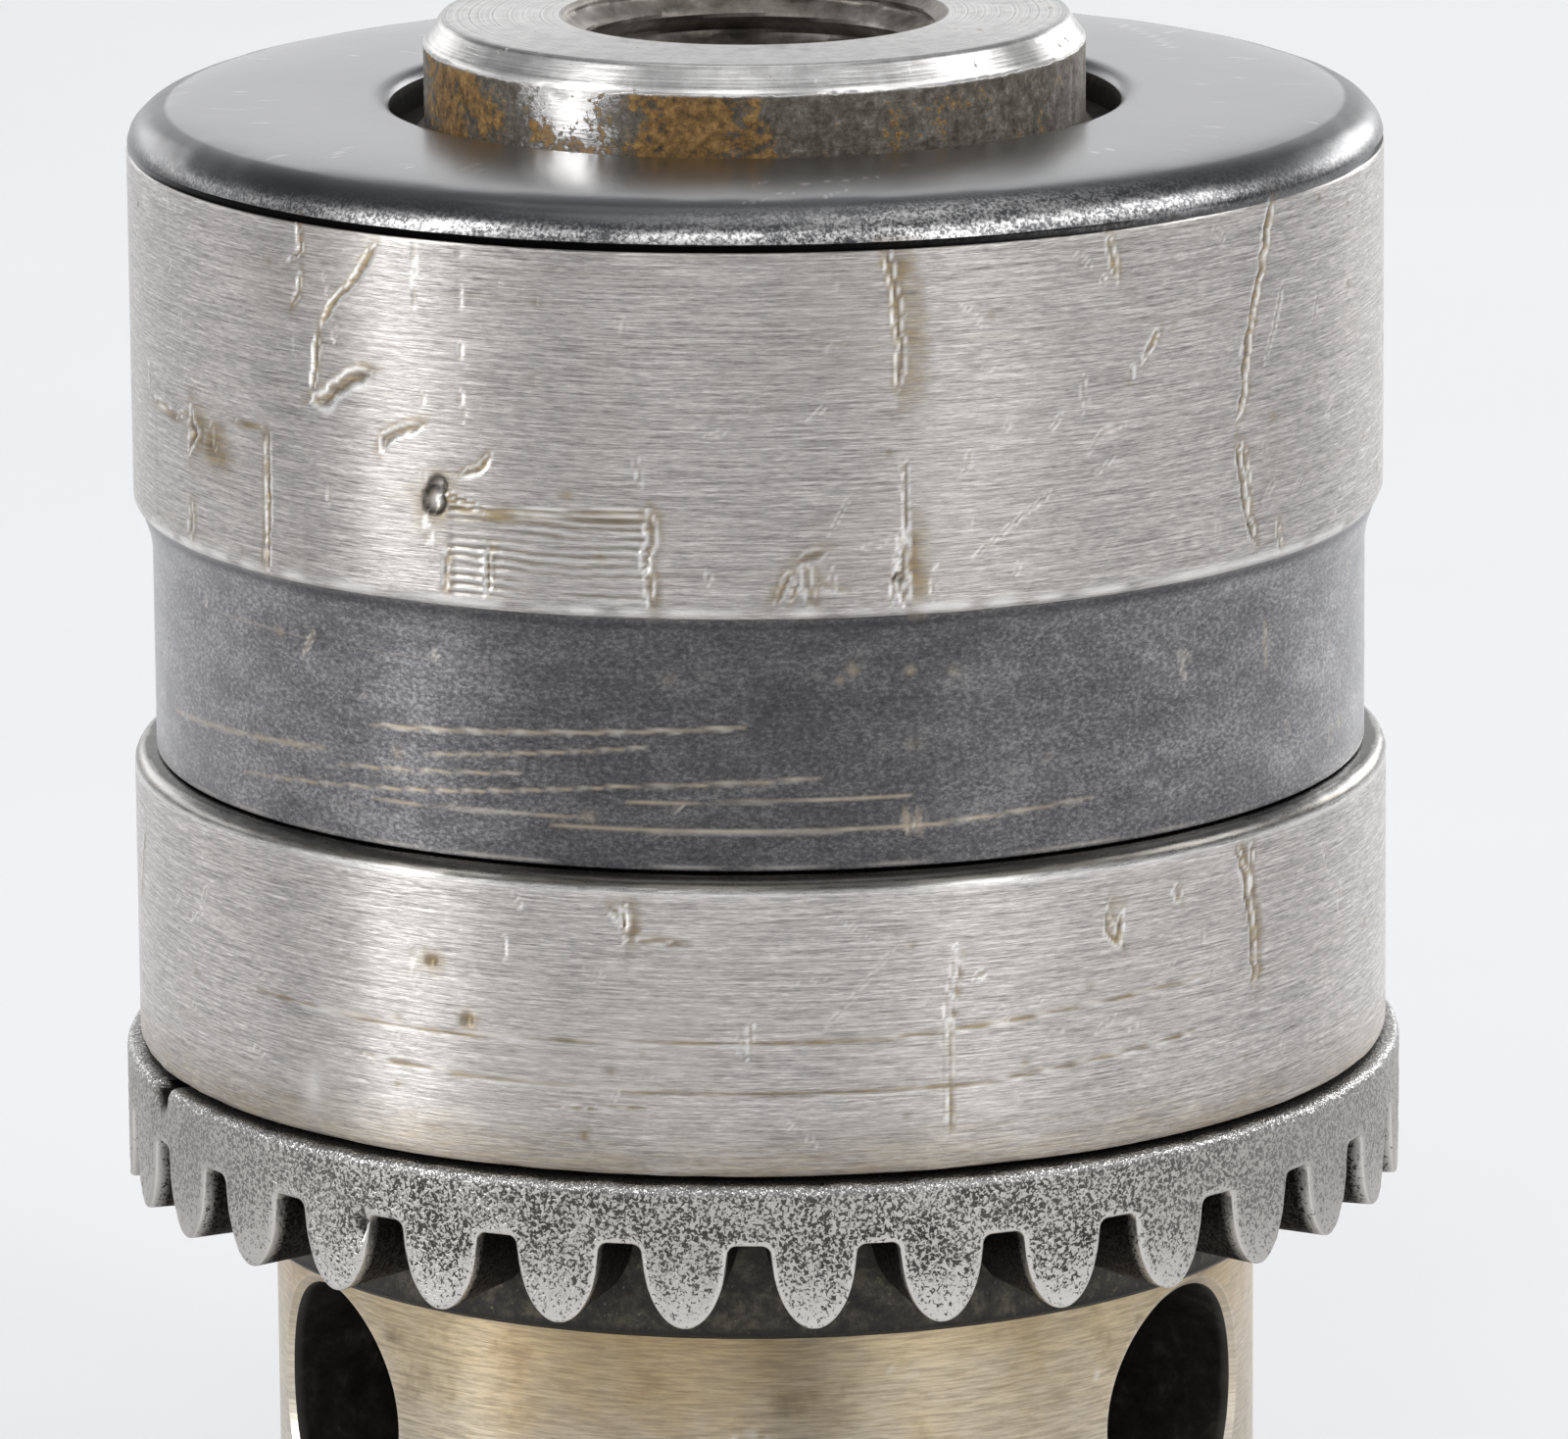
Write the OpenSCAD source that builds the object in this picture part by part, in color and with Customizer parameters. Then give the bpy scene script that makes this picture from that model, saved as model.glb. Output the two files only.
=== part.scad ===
// Keyed three-jaw drill chuck, standing on its nose with the spindle mount on top.
// The origin is the centre of the nose face and +Z is the spindle axis.
// Fixed body: body, race_upper. Turning: sleeve, gear_ring, both nut halves, race_lower.
// The ball cage orbits at half the sleeve's speed, and each jaw slides along its own bore.

/* [Body] */
// Height of the spindle boss's face above the nose face
total_h = 61.4; // [61.2:0.1:61.6]
// Radius of the bright rear band
band_r = 20.9; // [20.7:0.05:21.1]
// Radius of the dark recessed band
recess_r = 20.29; // [20.1:0.01:20.4]
// Radius of the nose
nose_r = 16.57; // [16.5:0.01:16.6]
// Radius of the flat nose face, outside its cone
nose_face_r = 11.6; // [11:0.1:12.5]
// Radius of the spindle boss
boss_r = 11; // [10.8:0.1:11.4]
// Radius of the rounded edge round the rear face
edge_r = 1.55; // [1:0.05:1.8]

/* [Spindle mount] */
// Minor radius of the 1/2-20 UNF spindle thread
thread_r = 5.72; // [5.65:0.01:5.8]
// Radius of the countersink at the thread's mouth
mouth_r = 6.44; // [6.2:0.02:6.6]
// Depth of the threaded hole
thread_depth = 16; // [14:0.5:17]

/* [Key pilots] */
// Radius of the three key pilot holes
pilot_r = 4.05; // [3.95:0.01:4.1]
// Height of the pilot holes' axes above the nose face
pilot_z = 15.8; // [15.6:0.1:16]
// Distance from the chuck's axis to the floor of a pilot hole
pilot_floor = 8.2; // [8.1:0.1:9]

/* [Sleeve and gear] */
// Radius of the sleeve's bright band
sleeve_r = 21.03; // [20.95:0.01:21.2]
// Outer radius of the gear teeth
gear_r = 21.5; // [21.3:0.05:21.7]
// Number of gear teeth
gear_teeth = 32; // [31:1:33]
// Depth of the gear teeth, measured along the axis
tooth_depth = 2.78; // [2.5:0.02:2.9]
// Width of a tooth gap at its root
root_gap = 1.42; // [1.4:0.02:1.6]
// Angle of the gear from the symmetric position, in degrees
gear_phase = 0.9; // [-5:0.1:5]

/* [Jaws] */
// Radius of a jaw
jaw_r = 3.3; // [3.2:0.05:3.3]
// Angle between a jaw and the chuck's axis, in degrees
jaw_tilt = 14.5; // [14.5:0.1:14.6]
// Radius between the gripping faces when the chuck is fully open
open_r = 6.5; // [6.5:0.05:6.55]
// Length of a gripping face
grip_len = 18.5; // [18:0.5:19]
// Height of the jaw tips above the nose face when fully open
tip_z = 3.5; // [3:0.5:4]
// Height of the jaws' upper ends when fully open
jaw_top_z = 46.7; // [45:0.1:47]
// Distance a jaw moves in one turn of the nut
pitch = 1.6; // [1.5:0.05:1.7]

/* [Bearing] */
// Number of balls in the thrust bearing
ball_count = 20; // [12:1:24]
// Radius of a ball, 1/16 in across
ball_r = 0.794; // [0.75:0.002:0.8]

/* [Hidden] */
JAWS = [for (i = [1:3]) str("jaw_", i)];
BALLS = [for (i = [1:ball_count]) str("ball_", i < 10 ? "0" : "", i)];
$fn = 96;
eps = 0.01;

// Heights of the body's steps, from the nose face upwards
cone_z = 8;               // top of the nose cone
groove_z = 21.4;          // top of the nose, where the nut's groove starts
spigot_z = 29.75;         // top of the tapered core inside the nut
shoulder_z = 33.3;        // face that the thrust bearing pushes against
recess_z = 37.0;          // lower edge of the dark band
flare_z = 43.8;           // top of the dark band's straight part
band_z = 45.46;           // lower edge of the bright rear band
face_z = total_h - 2.65;  // rear face around the boss
well_r = boss_r + 1.1;    // outer radius of the relief round the boss
well_z = face_z - 1.2;    // floor of that relief
boss_chamfer = [0.6, 0.8];
dome_r = 14.5;            // the rear face falls slightly outside this radius
dome = 0.2;               // how far it has fallen at its rounded edge
journal_r = 18.77;        // journal that the sleeve runs on
spigot_r = 16.4;          // spigot that centres the upper race
bore_r = 6.65;            // central bore for the tool's shank
bore_top_z = 38;
screw_r = 3.6;            // passage for the spindle's retaining screw

// Jaw line: the axis of each jaw leans outwards as it rises
jaw_half = jaw_r / cos(jaw_tilt);
function jaw_x(z) = open_r + jaw_half - grip_len * tan(jaw_tilt) + (z - tip_z) * tan(jaw_tilt);
function jaw_out(z) = jaw_x(z) + jaw_half;
jaw_clear = 0.05;
jaw_land = 0.45;          // half the width of a gripping face
jaw_angles = [30, 150, 270];
pilot_angles = [90, 210, 330];
pilot_rim = 15.8;         // distance from the axis at which a pilot hole's chamfer starts

// Nut and sleeve
nut_z = 21.55;
nut_step_z = 26.95;
nut_top_z = 29.6;
nut_low_r = 16.63;
nut_high_r = 18.85;
nut_mid_z = (nut_z + nut_top_z) / 2;
ridge_depth = 0.75;       // how far the nut's thread reaches into a jaw
ridge_crest = 0.44;
ridge_root = 1.0;
ridge_bury = 0.3;         // part of the ridge inside the nut's wall
thread_clear = 0.12;
skirt_z = 20.66;
skirt_r = 17.62;
skirt_bore_r = 16.65;
gear_top_z = 26.86;
gear_root_z = 24.86;
sleeve_low_z = 27.02;
spacer_r = 20;
sleeve_top_z = 36.9;
sleeve_edge_r = 0.5;
sleeve_bore_r = 18.85;

// Thrust bearing
race_h = 1.15;
race_in_r = 16.5;
race_out_r = 18.75;
ball_z = (nut_top_z + shoulder_z) / 2;
ball_circle_r = (race_in_r + race_out_r) / 2 + 0.02;
ball_clear = 0.03;
cage_h = 0.8;
cage_wall = 1.08;

// Points of an arc from angle a0 to a1, about the centre c
function arc(c, r, a0, a1, n = 8) =
  [for (i = [0:n]) c + r * [cos(a0 + (a1 - a0) * i / n), sin(a0 + (a1 - a0) * i / n)]];

// Turns what is drawn along +X to the angle a
module at_angle(a) {
  rotate([0, 0, a]) children();
}

// A cylinder along a jaw's axis, from height z0 to height z1 in the direction of +X
module jaw_rod(r, z0, z1) {
  translate([jaw_x(0), 0, 0])
    rotate([0, jaw_tilt, 0])
      translate([0, 0, z0 / cos(jaw_tilt)])
        cylinder(r = r, h = (z1 - z0) / cos(jaw_tilt));
}

// ---- Body ----
module body_profile() {
  polygon(concat(
    [[0, 0], [nose_face_r, 0], [nose_face_r + 0.35, 0.2], [nose_r - 0.5, cone_z - 0.75],
     [nose_r - 0.12, cone_z], [nose_r, cone_z + 0.9],
     [nose_r, groove_z - 0.2], [nose_r - 0.2, groove_z],
     [jaw_out(groove_z) - ridge_depth - 0.4, groove_z],
     [jaw_out(spigot_z) - ridge_depth - 0.4, spigot_z],
     [spigot_r, spigot_z], [spigot_r, shoulder_z],
     [journal_r, shoulder_z], [journal_r, recess_z],
     [recess_r - 0.15, recess_z], [recess_r, recess_z + 0.15],
     [recess_r, flare_z], [recess_r + 0.09, flare_z + 0.55], [band_r - 0.2, band_z - 0.2],
     [band_r, band_z]],
    [for (t = [0:10:80]) [band_r - edge_r + edge_r * cos(t), face_z - edge_r + (edge_r - dome) * sin(t)]],
    [[dome_r, face_z]],
    arc([well_r + 0.5, face_z - 0.5], 0.5, 90, 180, 4),
    [[well_r, well_z + 0.3], [well_r - 0.3, well_z], [boss_r + 0.3, well_z],
     [boss_r, well_z + 0.3], [boss_r, total_h - boss_chamfer[1]],
     [boss_r - boss_chamfer[0], total_h], [0, total_h]]));
}

// Threaded hole for the spindle, drawn at the thread's minor radius
module spindle_hole() {
  translate([0, 0, total_h - thread_depth]) cylinder(r = thread_r, h = thread_depth + 1);
  translate([0, 0, total_h - (mouth_r - thread_r)])
    cylinder(r1 = thread_r, r2 = mouth_r + eps, h = mouth_r - thread_r + eps);
  translate([0, 0, bore_top_z - 1]) cylinder(r = screw_r, h = total_h - bore_top_z - thread_depth + 2);
}

// Radial hole for the key's pilot, with a small chamfer at its mouth
module pilot_hole() {
  translate([0, 0, pilot_z]) rotate([0, 90, 0]) {
    translate([0, 0, pilot_floor]) cylinder(r = pilot_r, h = 12);
    translate([0, 0, pilot_rim]) cylinder(r1 = pilot_r, r2 = pilot_r + 0.6, h = 1.04);
  }
}

module body() {
  color("dimgray")
    difference() {
      rotate_extrude() body_profile();
      translate([0, 0, -1]) cylinder(r = bore_r, h = bore_top_z + 1);
      translate([0, 0, -eps]) cylinder(r1 = bore_r + 0.6, r2 = bore_r, h = 0.6);
      spindle_hole();
      for (a = jaw_angles) at_angle(a) jaw_rod(jaw_r + jaw_clear, -2, jaw_top_z + 0.5);
      for (a = pilot_angles) at_angle(a) pilot_hole();
    }
}

// ---- Sleeve ----
module sleeve() {
  color("silver")
    rotate_extrude()
      polygon(concat(
        [[skirt_bore_r, skirt_z], [skirt_r - 0.15, skirt_z], [skirt_r, skirt_z + 0.15],
         [skirt_r, gear_top_z], [spacer_r, gear_top_z], [spacer_r, sleeve_low_z],
         [sleeve_r - 0.15, sleeve_low_z], [sleeve_r, sleeve_low_z + 0.15]],
        arc([sleeve_r - sleeve_edge_r, sleeve_top_z - sleeve_edge_r], sleeve_edge_r, 0, 90),
        [[sleeve_bore_r + 0.2, sleeve_top_z], [sleeve_bore_r, sleeve_top_z - 0.2],
         [sleeve_bore_r, nut_step_z], [skirt_bore_r, nut_step_z]]));
}

// ---- Gear ring ----
// Side view of one tooth's right flank: filleted at the root, rounded to a narrow flat tip
tooth_half = PI * gear_r / gear_teeth - root_gap / 2;
root_fillet = 0.3;
tooth_power = 2;
tip_angle = 86;
function flank(t) = [tooth_half * cos(t), -tooth_depth * pow(sin(t), 2 / tooth_power)];
tip_half = flank(tip_angle)[0];

// The space beside a tooth that points along +X; side is 1 or -1
module beside_tooth(side) {
  reach = 6;
  below = -tooth_depth - 1;
  mirror([0, side < 0 ? 1 : 0, 0])
    translate([skirt_r - 1, 0, gear_root_z])
      rotate([90, 0, 90]) linear_extrude(height = gear_r)
        polygon(concat([[reach, 0]],
                       arc([tooth_half + root_fillet, -root_fillet], root_fillet, 90, 180, 4),
                       [for (t = [18:8.5:tip_angle]) flank(t)],
                       [[tip_half, below], [reach, below]]));
}

module gear_ring() {
  rim = 0.3;
  tip_z = gear_root_z + flank(tip_angle)[1];
  step = 360 / gear_teeth;
  color("gray")
    difference() {
      rotate_extrude()
        polygon([[skirt_r, tip_z], [gear_r, tip_z], [gear_r, gear_top_z - rim],
                 [gear_r - rim, gear_top_z], [skirt_r, gear_top_z]]);
      for (i = [0:gear_teeth - 1])
        rotate([0, 0, -90 + gear_phase + step * (i + 0.5)])
          intersection() {
            beside_tooth(1);
            rotate([0, 0, step]) beside_tooth(-1);
          }
    }
}

// ---- Nut ----
// The thread's ridge follows a cone: it moves one pitch along the jaw's slope in each turn
thread_turns = ceil((nut_top_z - nut_z) / (pitch * cos(jaw_tilt))) + 1;
thread_steps = 30;
ridge_section = [[-ridge_root / 2, ridge_bury], [ridge_root / 2, ridge_bury],
                 [ridge_crest / 2, -ridge_depth], [-ridge_crest / 2, -ridge_depth]];

// Distance along the slope of the ridge's middle, at a turn count t
function ridge_u(t) = (nut_z - 1.2) / cos(jaw_tilt) + pitch * t;

// A point w outside the jaw's back and u along the slope, as radius and height
function slope_point(u, w) =
  [jaw_out(0) + u * sin(jaw_tilt) + w * cos(jaw_tilt), u * cos(jaw_tilt) - w * sin(jaw_tilt)];

module thread_ridge() {
  n = thread_turns * thread_steps;
  points = [for (i = [0:n]) for (s = ridge_section)
    let (p = slope_point(ridge_u(i / thread_steps) + s[0], s[1]), a = 360 * i / thread_steps)
      [p[0] * cos(a), p[0] * sin(a), p[1]]];
  sides = [for (i = [0:n - 1]) for (k = [0:3])
    let (a = 4 * i + k, b = 4 * i + (k + 1) % 4) each [[a, b, a + 4], [b, b + 4, a + 4]]];
  polyhedron(points, concat([[3, 2, 1, 0]], sides, [[4 * n, 4 * n + 1, 4 * n + 2, 4 * n + 3]]));
}

// One half of the split nut; side is 0 or 1
module nut_half(side) {
  wall = thread_clear;
  split = 0.05;
  color("darkgray") rotate([0, 0, 180 * side])
    intersection() {
      translate([-30, split, nut_z]) cube([60, 30, nut_top_z - nut_z]);
      rotate([0, 0, -180 * side]) union() {
        rotate_extrude()
          polygon([[jaw_out(nut_z) + wall, nut_z], [nut_low_r, nut_z], [nut_low_r, nut_step_z],
                   [nut_high_r, nut_step_z], [nut_high_r, nut_top_z],
                   [jaw_out(nut_top_z) + wall, nut_top_z]]);
        thread_ridge();
      }
    }
}

// ---- Jaws ----
// Ring that cuts one tooth gap in a jaw's back, at the distance u along the jaw
module jaw_groove(u) {
  w0 = -ridge_depth - thread_clear;
  half_in = ridge_crest / 2 + thread_clear;
  half_out = ridge_root / 2 + thread_clear;
  mid_u = nut_mid_z / cos(jaw_tilt);
  translate([(u - mid_u) * sin(jaw_tilt), 0, (u - mid_u) * cos(jaw_tilt)])
    rotate([0, 0, -24]) rotate_extrude(angle = 48)
      polygon([slope_point(mid_u - half_out, ridge_bury), slope_point(mid_u - half_in, w0),
               slope_point(mid_u + half_in, w0), slope_point(mid_u + half_out, ridge_bury)]);
}

module jaw(number) {
  a = jaw_angles[number - 1];
  first = ridge_u(a / 360);
  keep = 20;
  color("lightgray") at_angle(a)
    difference() {
      intersection() {
        jaw_rod(jaw_r, -5, jaw_top_z);
        translate([0, 0, tip_z]) linear_extrude(height = 60)
          polygon([[open_r, -jaw_land], [open_r + keep, -jaw_land - keep * tan(60)],
                   [open_r + keep, jaw_land + keep * tan(60)], [open_r, jaw_land]]);
      }
      for (k = [0:17]) jaw_groove(first + pitch * k);
    }
}

// ---- Thrust bearing ----
module race(z) {
  color("lightsteelblue")
    difference() {
      translate([0, 0, z]) cylinder(r = race_out_r, h = race_h);
      translate([0, 0, z - 1]) cylinder(r = race_in_r, h = race_h + 2);
      rotate_extrude() translate([ball_circle_r, ball_z]) circle(r = ball_r + ball_clear, $fn = 48);
    }
}

module race_upper() {
  race(shoulder_z - race_h);
}

module race_lower() {
  race(nut_top_z);
}

module at_ball(number) {
  rotate([0, 0, 360 / ball_count * number]) translate([ball_circle_r, 0, ball_z]) children();
}

module ball_cage() {
  color("goldenrod")
    difference() {
      translate([0, 0, ball_z - cage_h / 2]) cylinder(r = ball_circle_r + cage_wall, h = cage_h);
      translate([0, 0, ball_z - cage_h]) cylinder(r = ball_circle_r - cage_wall, h = 2 * cage_h);
      for (i = [1:ball_count])
        at_ball(i) translate([0, 0, -cage_h]) cylinder(r = ball_r + ball_clear, h = 2 * cage_h);
    }
}

module ball(number) {
  color("white") at_ball(number) sphere(r = ball_r, $fn = 32);
}

body();
sleeve();
gear_ring();
nut_half(0);  // nut_half_1
nut_half(1);  // nut_half_2
for (i = [1:3]) jaw(i);
race_upper();
race_lower();
ball_cage();
for (i = [1:ball_count]) ball(i);
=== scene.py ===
"""Keyed three-jaw drill chuck, standing on its nose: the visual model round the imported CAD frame.

Lengths are in millimetres until a mesh is written, and azimuths are in degrees from -Y towards +X.
"""
import math
from collections import namedtuple

import bpy
import numpy as np
from mathutils import Matrix, Vector


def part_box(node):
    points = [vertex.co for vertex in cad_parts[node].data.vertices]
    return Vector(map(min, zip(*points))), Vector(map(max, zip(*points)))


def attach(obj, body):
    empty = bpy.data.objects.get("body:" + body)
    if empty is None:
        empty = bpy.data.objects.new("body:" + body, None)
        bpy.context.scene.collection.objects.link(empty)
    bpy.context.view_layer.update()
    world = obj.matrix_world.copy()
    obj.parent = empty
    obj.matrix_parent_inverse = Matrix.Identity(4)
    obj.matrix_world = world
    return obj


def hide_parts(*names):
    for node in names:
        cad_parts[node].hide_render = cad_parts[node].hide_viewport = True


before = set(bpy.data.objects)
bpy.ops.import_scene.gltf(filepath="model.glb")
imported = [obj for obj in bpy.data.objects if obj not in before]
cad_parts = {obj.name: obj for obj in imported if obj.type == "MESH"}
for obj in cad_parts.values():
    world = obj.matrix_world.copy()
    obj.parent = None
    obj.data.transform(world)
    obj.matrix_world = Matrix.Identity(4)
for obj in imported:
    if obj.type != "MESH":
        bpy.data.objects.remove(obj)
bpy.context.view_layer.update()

MM = 0.001


# ---------------------------------------------------------------- Sizes
def top_of(node):
    """Height of a CAD node's highest point."""
    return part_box(node)[1].z / MM


def low_of(node):
    """Height of a CAD node's lowest point."""
    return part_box(node)[0].z / MM


def radius_of(node):
    """Largest radius of a CAD node that is round about the spindle axis."""
    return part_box(node)[1].x / MM


# Fixed body
TOTAL_H = top_of("body")
BAND_R = radius_of("body")
FACE_Z = TOTAL_H - 2.65
EDGE_R = 1.55
BAND_TOP = FACE_Z - EDGE_R
SEAM_DEPTH, SEAM_HEIGHT = 0.18, 0.18
WELL_R, WELL_Z = 12.1, FACE_Z - 1.2
DOME, DOME_R = 0.2, 14.5
BOSS_R, BOSS_CHAMFER = 11.0, (0.6, 0.8)
CHAMFER_Z = TOTAL_H - BOSS_CHAMFER[1]
BAND_Z, FLARE_Z = 45.46, 43.8
RECESS_R, RECESS_Z = 20.29, 36.96
JOURNAL_R, SHOULDER_Z, SHELL_BORE_R = 18.77, 33.3, 14.5
SPIGOT_R, SPIGOT_Z = 16.4, 29.75
NOSE_R, NOSE_FACE_R = 16.57, 11.6
CONE_Z, GROOVE_Z = 8.0, 21.4
BORE_R, BORE_TOP = 6.65, 38.0
SCREW_R = 3.6

# Spindle thread, 1/2-20 UNF
THREAD_R, THREAD_MAJOR_R, THREAD_PITCH = 5.72, 6.3, 1.27
MOUTH_R, THREAD_DEPTH = 6.44, 16.0

# Key pilots and jaw bores
PILOT_R, PILOT_Z, PILOT_FLOOR = 4.05, 15.8, 8.2
PILOT_ANGLES = (90, 210, 330)
PILOT_CHAMFER = 0.22
JAW_ANGLES = (30, 150, 270)
JAW_TILT = math.radians(14.5)
JAW_BORE_R = 3.35
JAW_X0 = 4.219
JAW_TOP = 47.2

# Sleeve and gear
SLEEVE_R = radius_of("sleeve")
SLEEVE_TOP = top_of("sleeve")
SKIRT_Z, SKIRT_R, SKIRT_BORE_R = low_of("sleeve"), 17.62, 16.65
SLEEVE_LOW, SPACER_R = 27.02, 20.0
SLEEVE_EDGE_R, SLEEVE_BORE_R, STEP_Z = 0.5, 18.85, 26.95
GEAR_R, GEAR_TOP = radius_of("gear_ring"), top_of("gear_ring")
GEAR_TEETH, GEAR_PHASE = 32, 0.9
TOOTH_ROOT_Z, TOOTH_DEPTH, ROOT_GAP = 24.86, 2.78, 1.42
ROOT_FILLET, TOOTH_POWER = 0.3, 2.0
GEAR_BEVEL, GEAR_RIM, GEAR_BACK_Z = 0.14, 0.32, 25.8
GEAR_FACE_ROWS = 34


# ---------------------------------------------------------------- Camera, light and floor
CAMERA_DISTANCE, CAMERA_HEIGHT = 387.2, 126.27
CAMERA_AZIMUTH, CAMERA_PITCH = 2.3, 12.94
CAMERA_YAW, CAMERA_ROLL = 0.1175, -0.489
CAMERA_LENS = 271.08


def direction(azimuth, elevation=0.0):
    """Unit vector at an azimuth and an elevation."""
    a, e = math.radians(azimuth), math.radians(elevation)
    return Vector((math.sin(a) * math.cos(e), -math.cos(a) * math.cos(e), math.sin(e)))


def make_camera():
    """The camera stands a little to the right of the front and looks down at the chuck."""
    camera = bpy.data.objects.new("camera", bpy.data.cameras.new("camera"))
    camera.data.lens = CAMERA_LENS
    camera.data.sensor_width = 36
    camera.data.clip_start = 0.01
    bpy.context.scene.collection.objects.link(camera)
    forward = -direction(CAMERA_AZIMUTH - CAMERA_YAW, CAMERA_PITCH)
    right = forward.cross(Vector((0, 0, 1))).normalized()
    up = right.cross(forward)
    roll = math.radians(CAMERA_ROLL)
    x = math.cos(roll) * right + math.sin(roll) * up
    y = -math.sin(roll) * right + math.cos(roll) * up
    place = CAMERA_DISTANCE * direction(CAMERA_AZIMUTH) + Vector((0, 0, CAMERA_HEIGHT))
    camera.matrix_world = Matrix.Translation(place * MM) @ Matrix((x, y, -forward)).transposed().to_4x4()
    bpy.context.scene.camera = camera


def soft_light(name, azimuth, elevation, width, height, radiance):
    """An area light, 1.2 m away, that faces the middle of the chuck. Its sizes are in metres."""
    light = bpy.data.lights.new(name, "AREA")
    light.shape = "RECTANGLE"
    light.size, light.size_y = width, height
    light.energy = radiance * math.pi * width * height
    lamp = bpy.data.objects.new(name, light)
    bpy.context.scene.collection.objects.link(lamp)
    outward = direction(azimuth, elevation)
    lamp.location = Vector((0, 0, 0.04)) + 1.2 * outward
    lamp.rotation_euler = outward.to_track_quat("Z", "Y").to_euler()


def make_light():
    """A dim room with a narrow light at the left, another at the right and soft ones all round."""
    world = bpy.data.worlds.new("studio")
    bpy.context.scene.world = world
    world.use_nodes = True
    world.node_tree.nodes["Background"].inputs["Color"].default_value = (0.255, 0.26, 0.27, 1)
    soft_light("left_strip", -64, 24, 0.15, 0.95, 13.1)
    soft_light("left_fill", -84, 24, 0.2, 0.95, 0.6)
    soft_light("right_strip", 40, 24, 0.22, 0.95, 4.4)
    soft_light("front_light", -10, 33, 0.42, 0.5, 2.5)
    soft_light("front_left_light", -40, 33, 0.42, 0.5, 0.6)
    soft_light("front_right_light", 65, 33, 0.42, 0.5, 2.1)
    soft_light("right_light", 95, 33, 0.42, 0.5, 6.0)
    soft_light("high_front_light", 0, 45, 0.6, 0.3, 1.6)
    soft_light("top_light", 0, 90, 0.8, 0.6, 1.1)
    soft_light("high_back_light", 180, 62, 0.6, 0.5, 0.5)
    soft_light("back_light", 180, 13, 2.0, 0.56, 0.77)
    soft_light("low_left_light", -115, 14, 0.6, 0.3, 2.0)
    soft_light("back_left_light", -145, 14, 0.6, 0.3, 1.75)
    soft_light("back_right_light", 145, 14, 0.6, 0.3, 5.8)


def make_floor():
    """A wide pale floor under the chuck's nose."""
    bpy.ops.mesh.primitive_circle_add(vertices=96, radius=6, fill_type="NGON")
    floor = bpy.context.object
    floor.name = "floor"
    floor.location.z = low_of("body") * MM - 0.00005
    paper = Shader("pale_floor", roughness=0.9)
    tone = paper.noise(scale=0.02, detail=2)
    paper.colour(paper.ramp(tone, [(0.3, (0.836, 0.836, 0.85)), (0.7, (0.855, 0.855, 0.865))]))
    floor.data.materials.append(paper.material)


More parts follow.
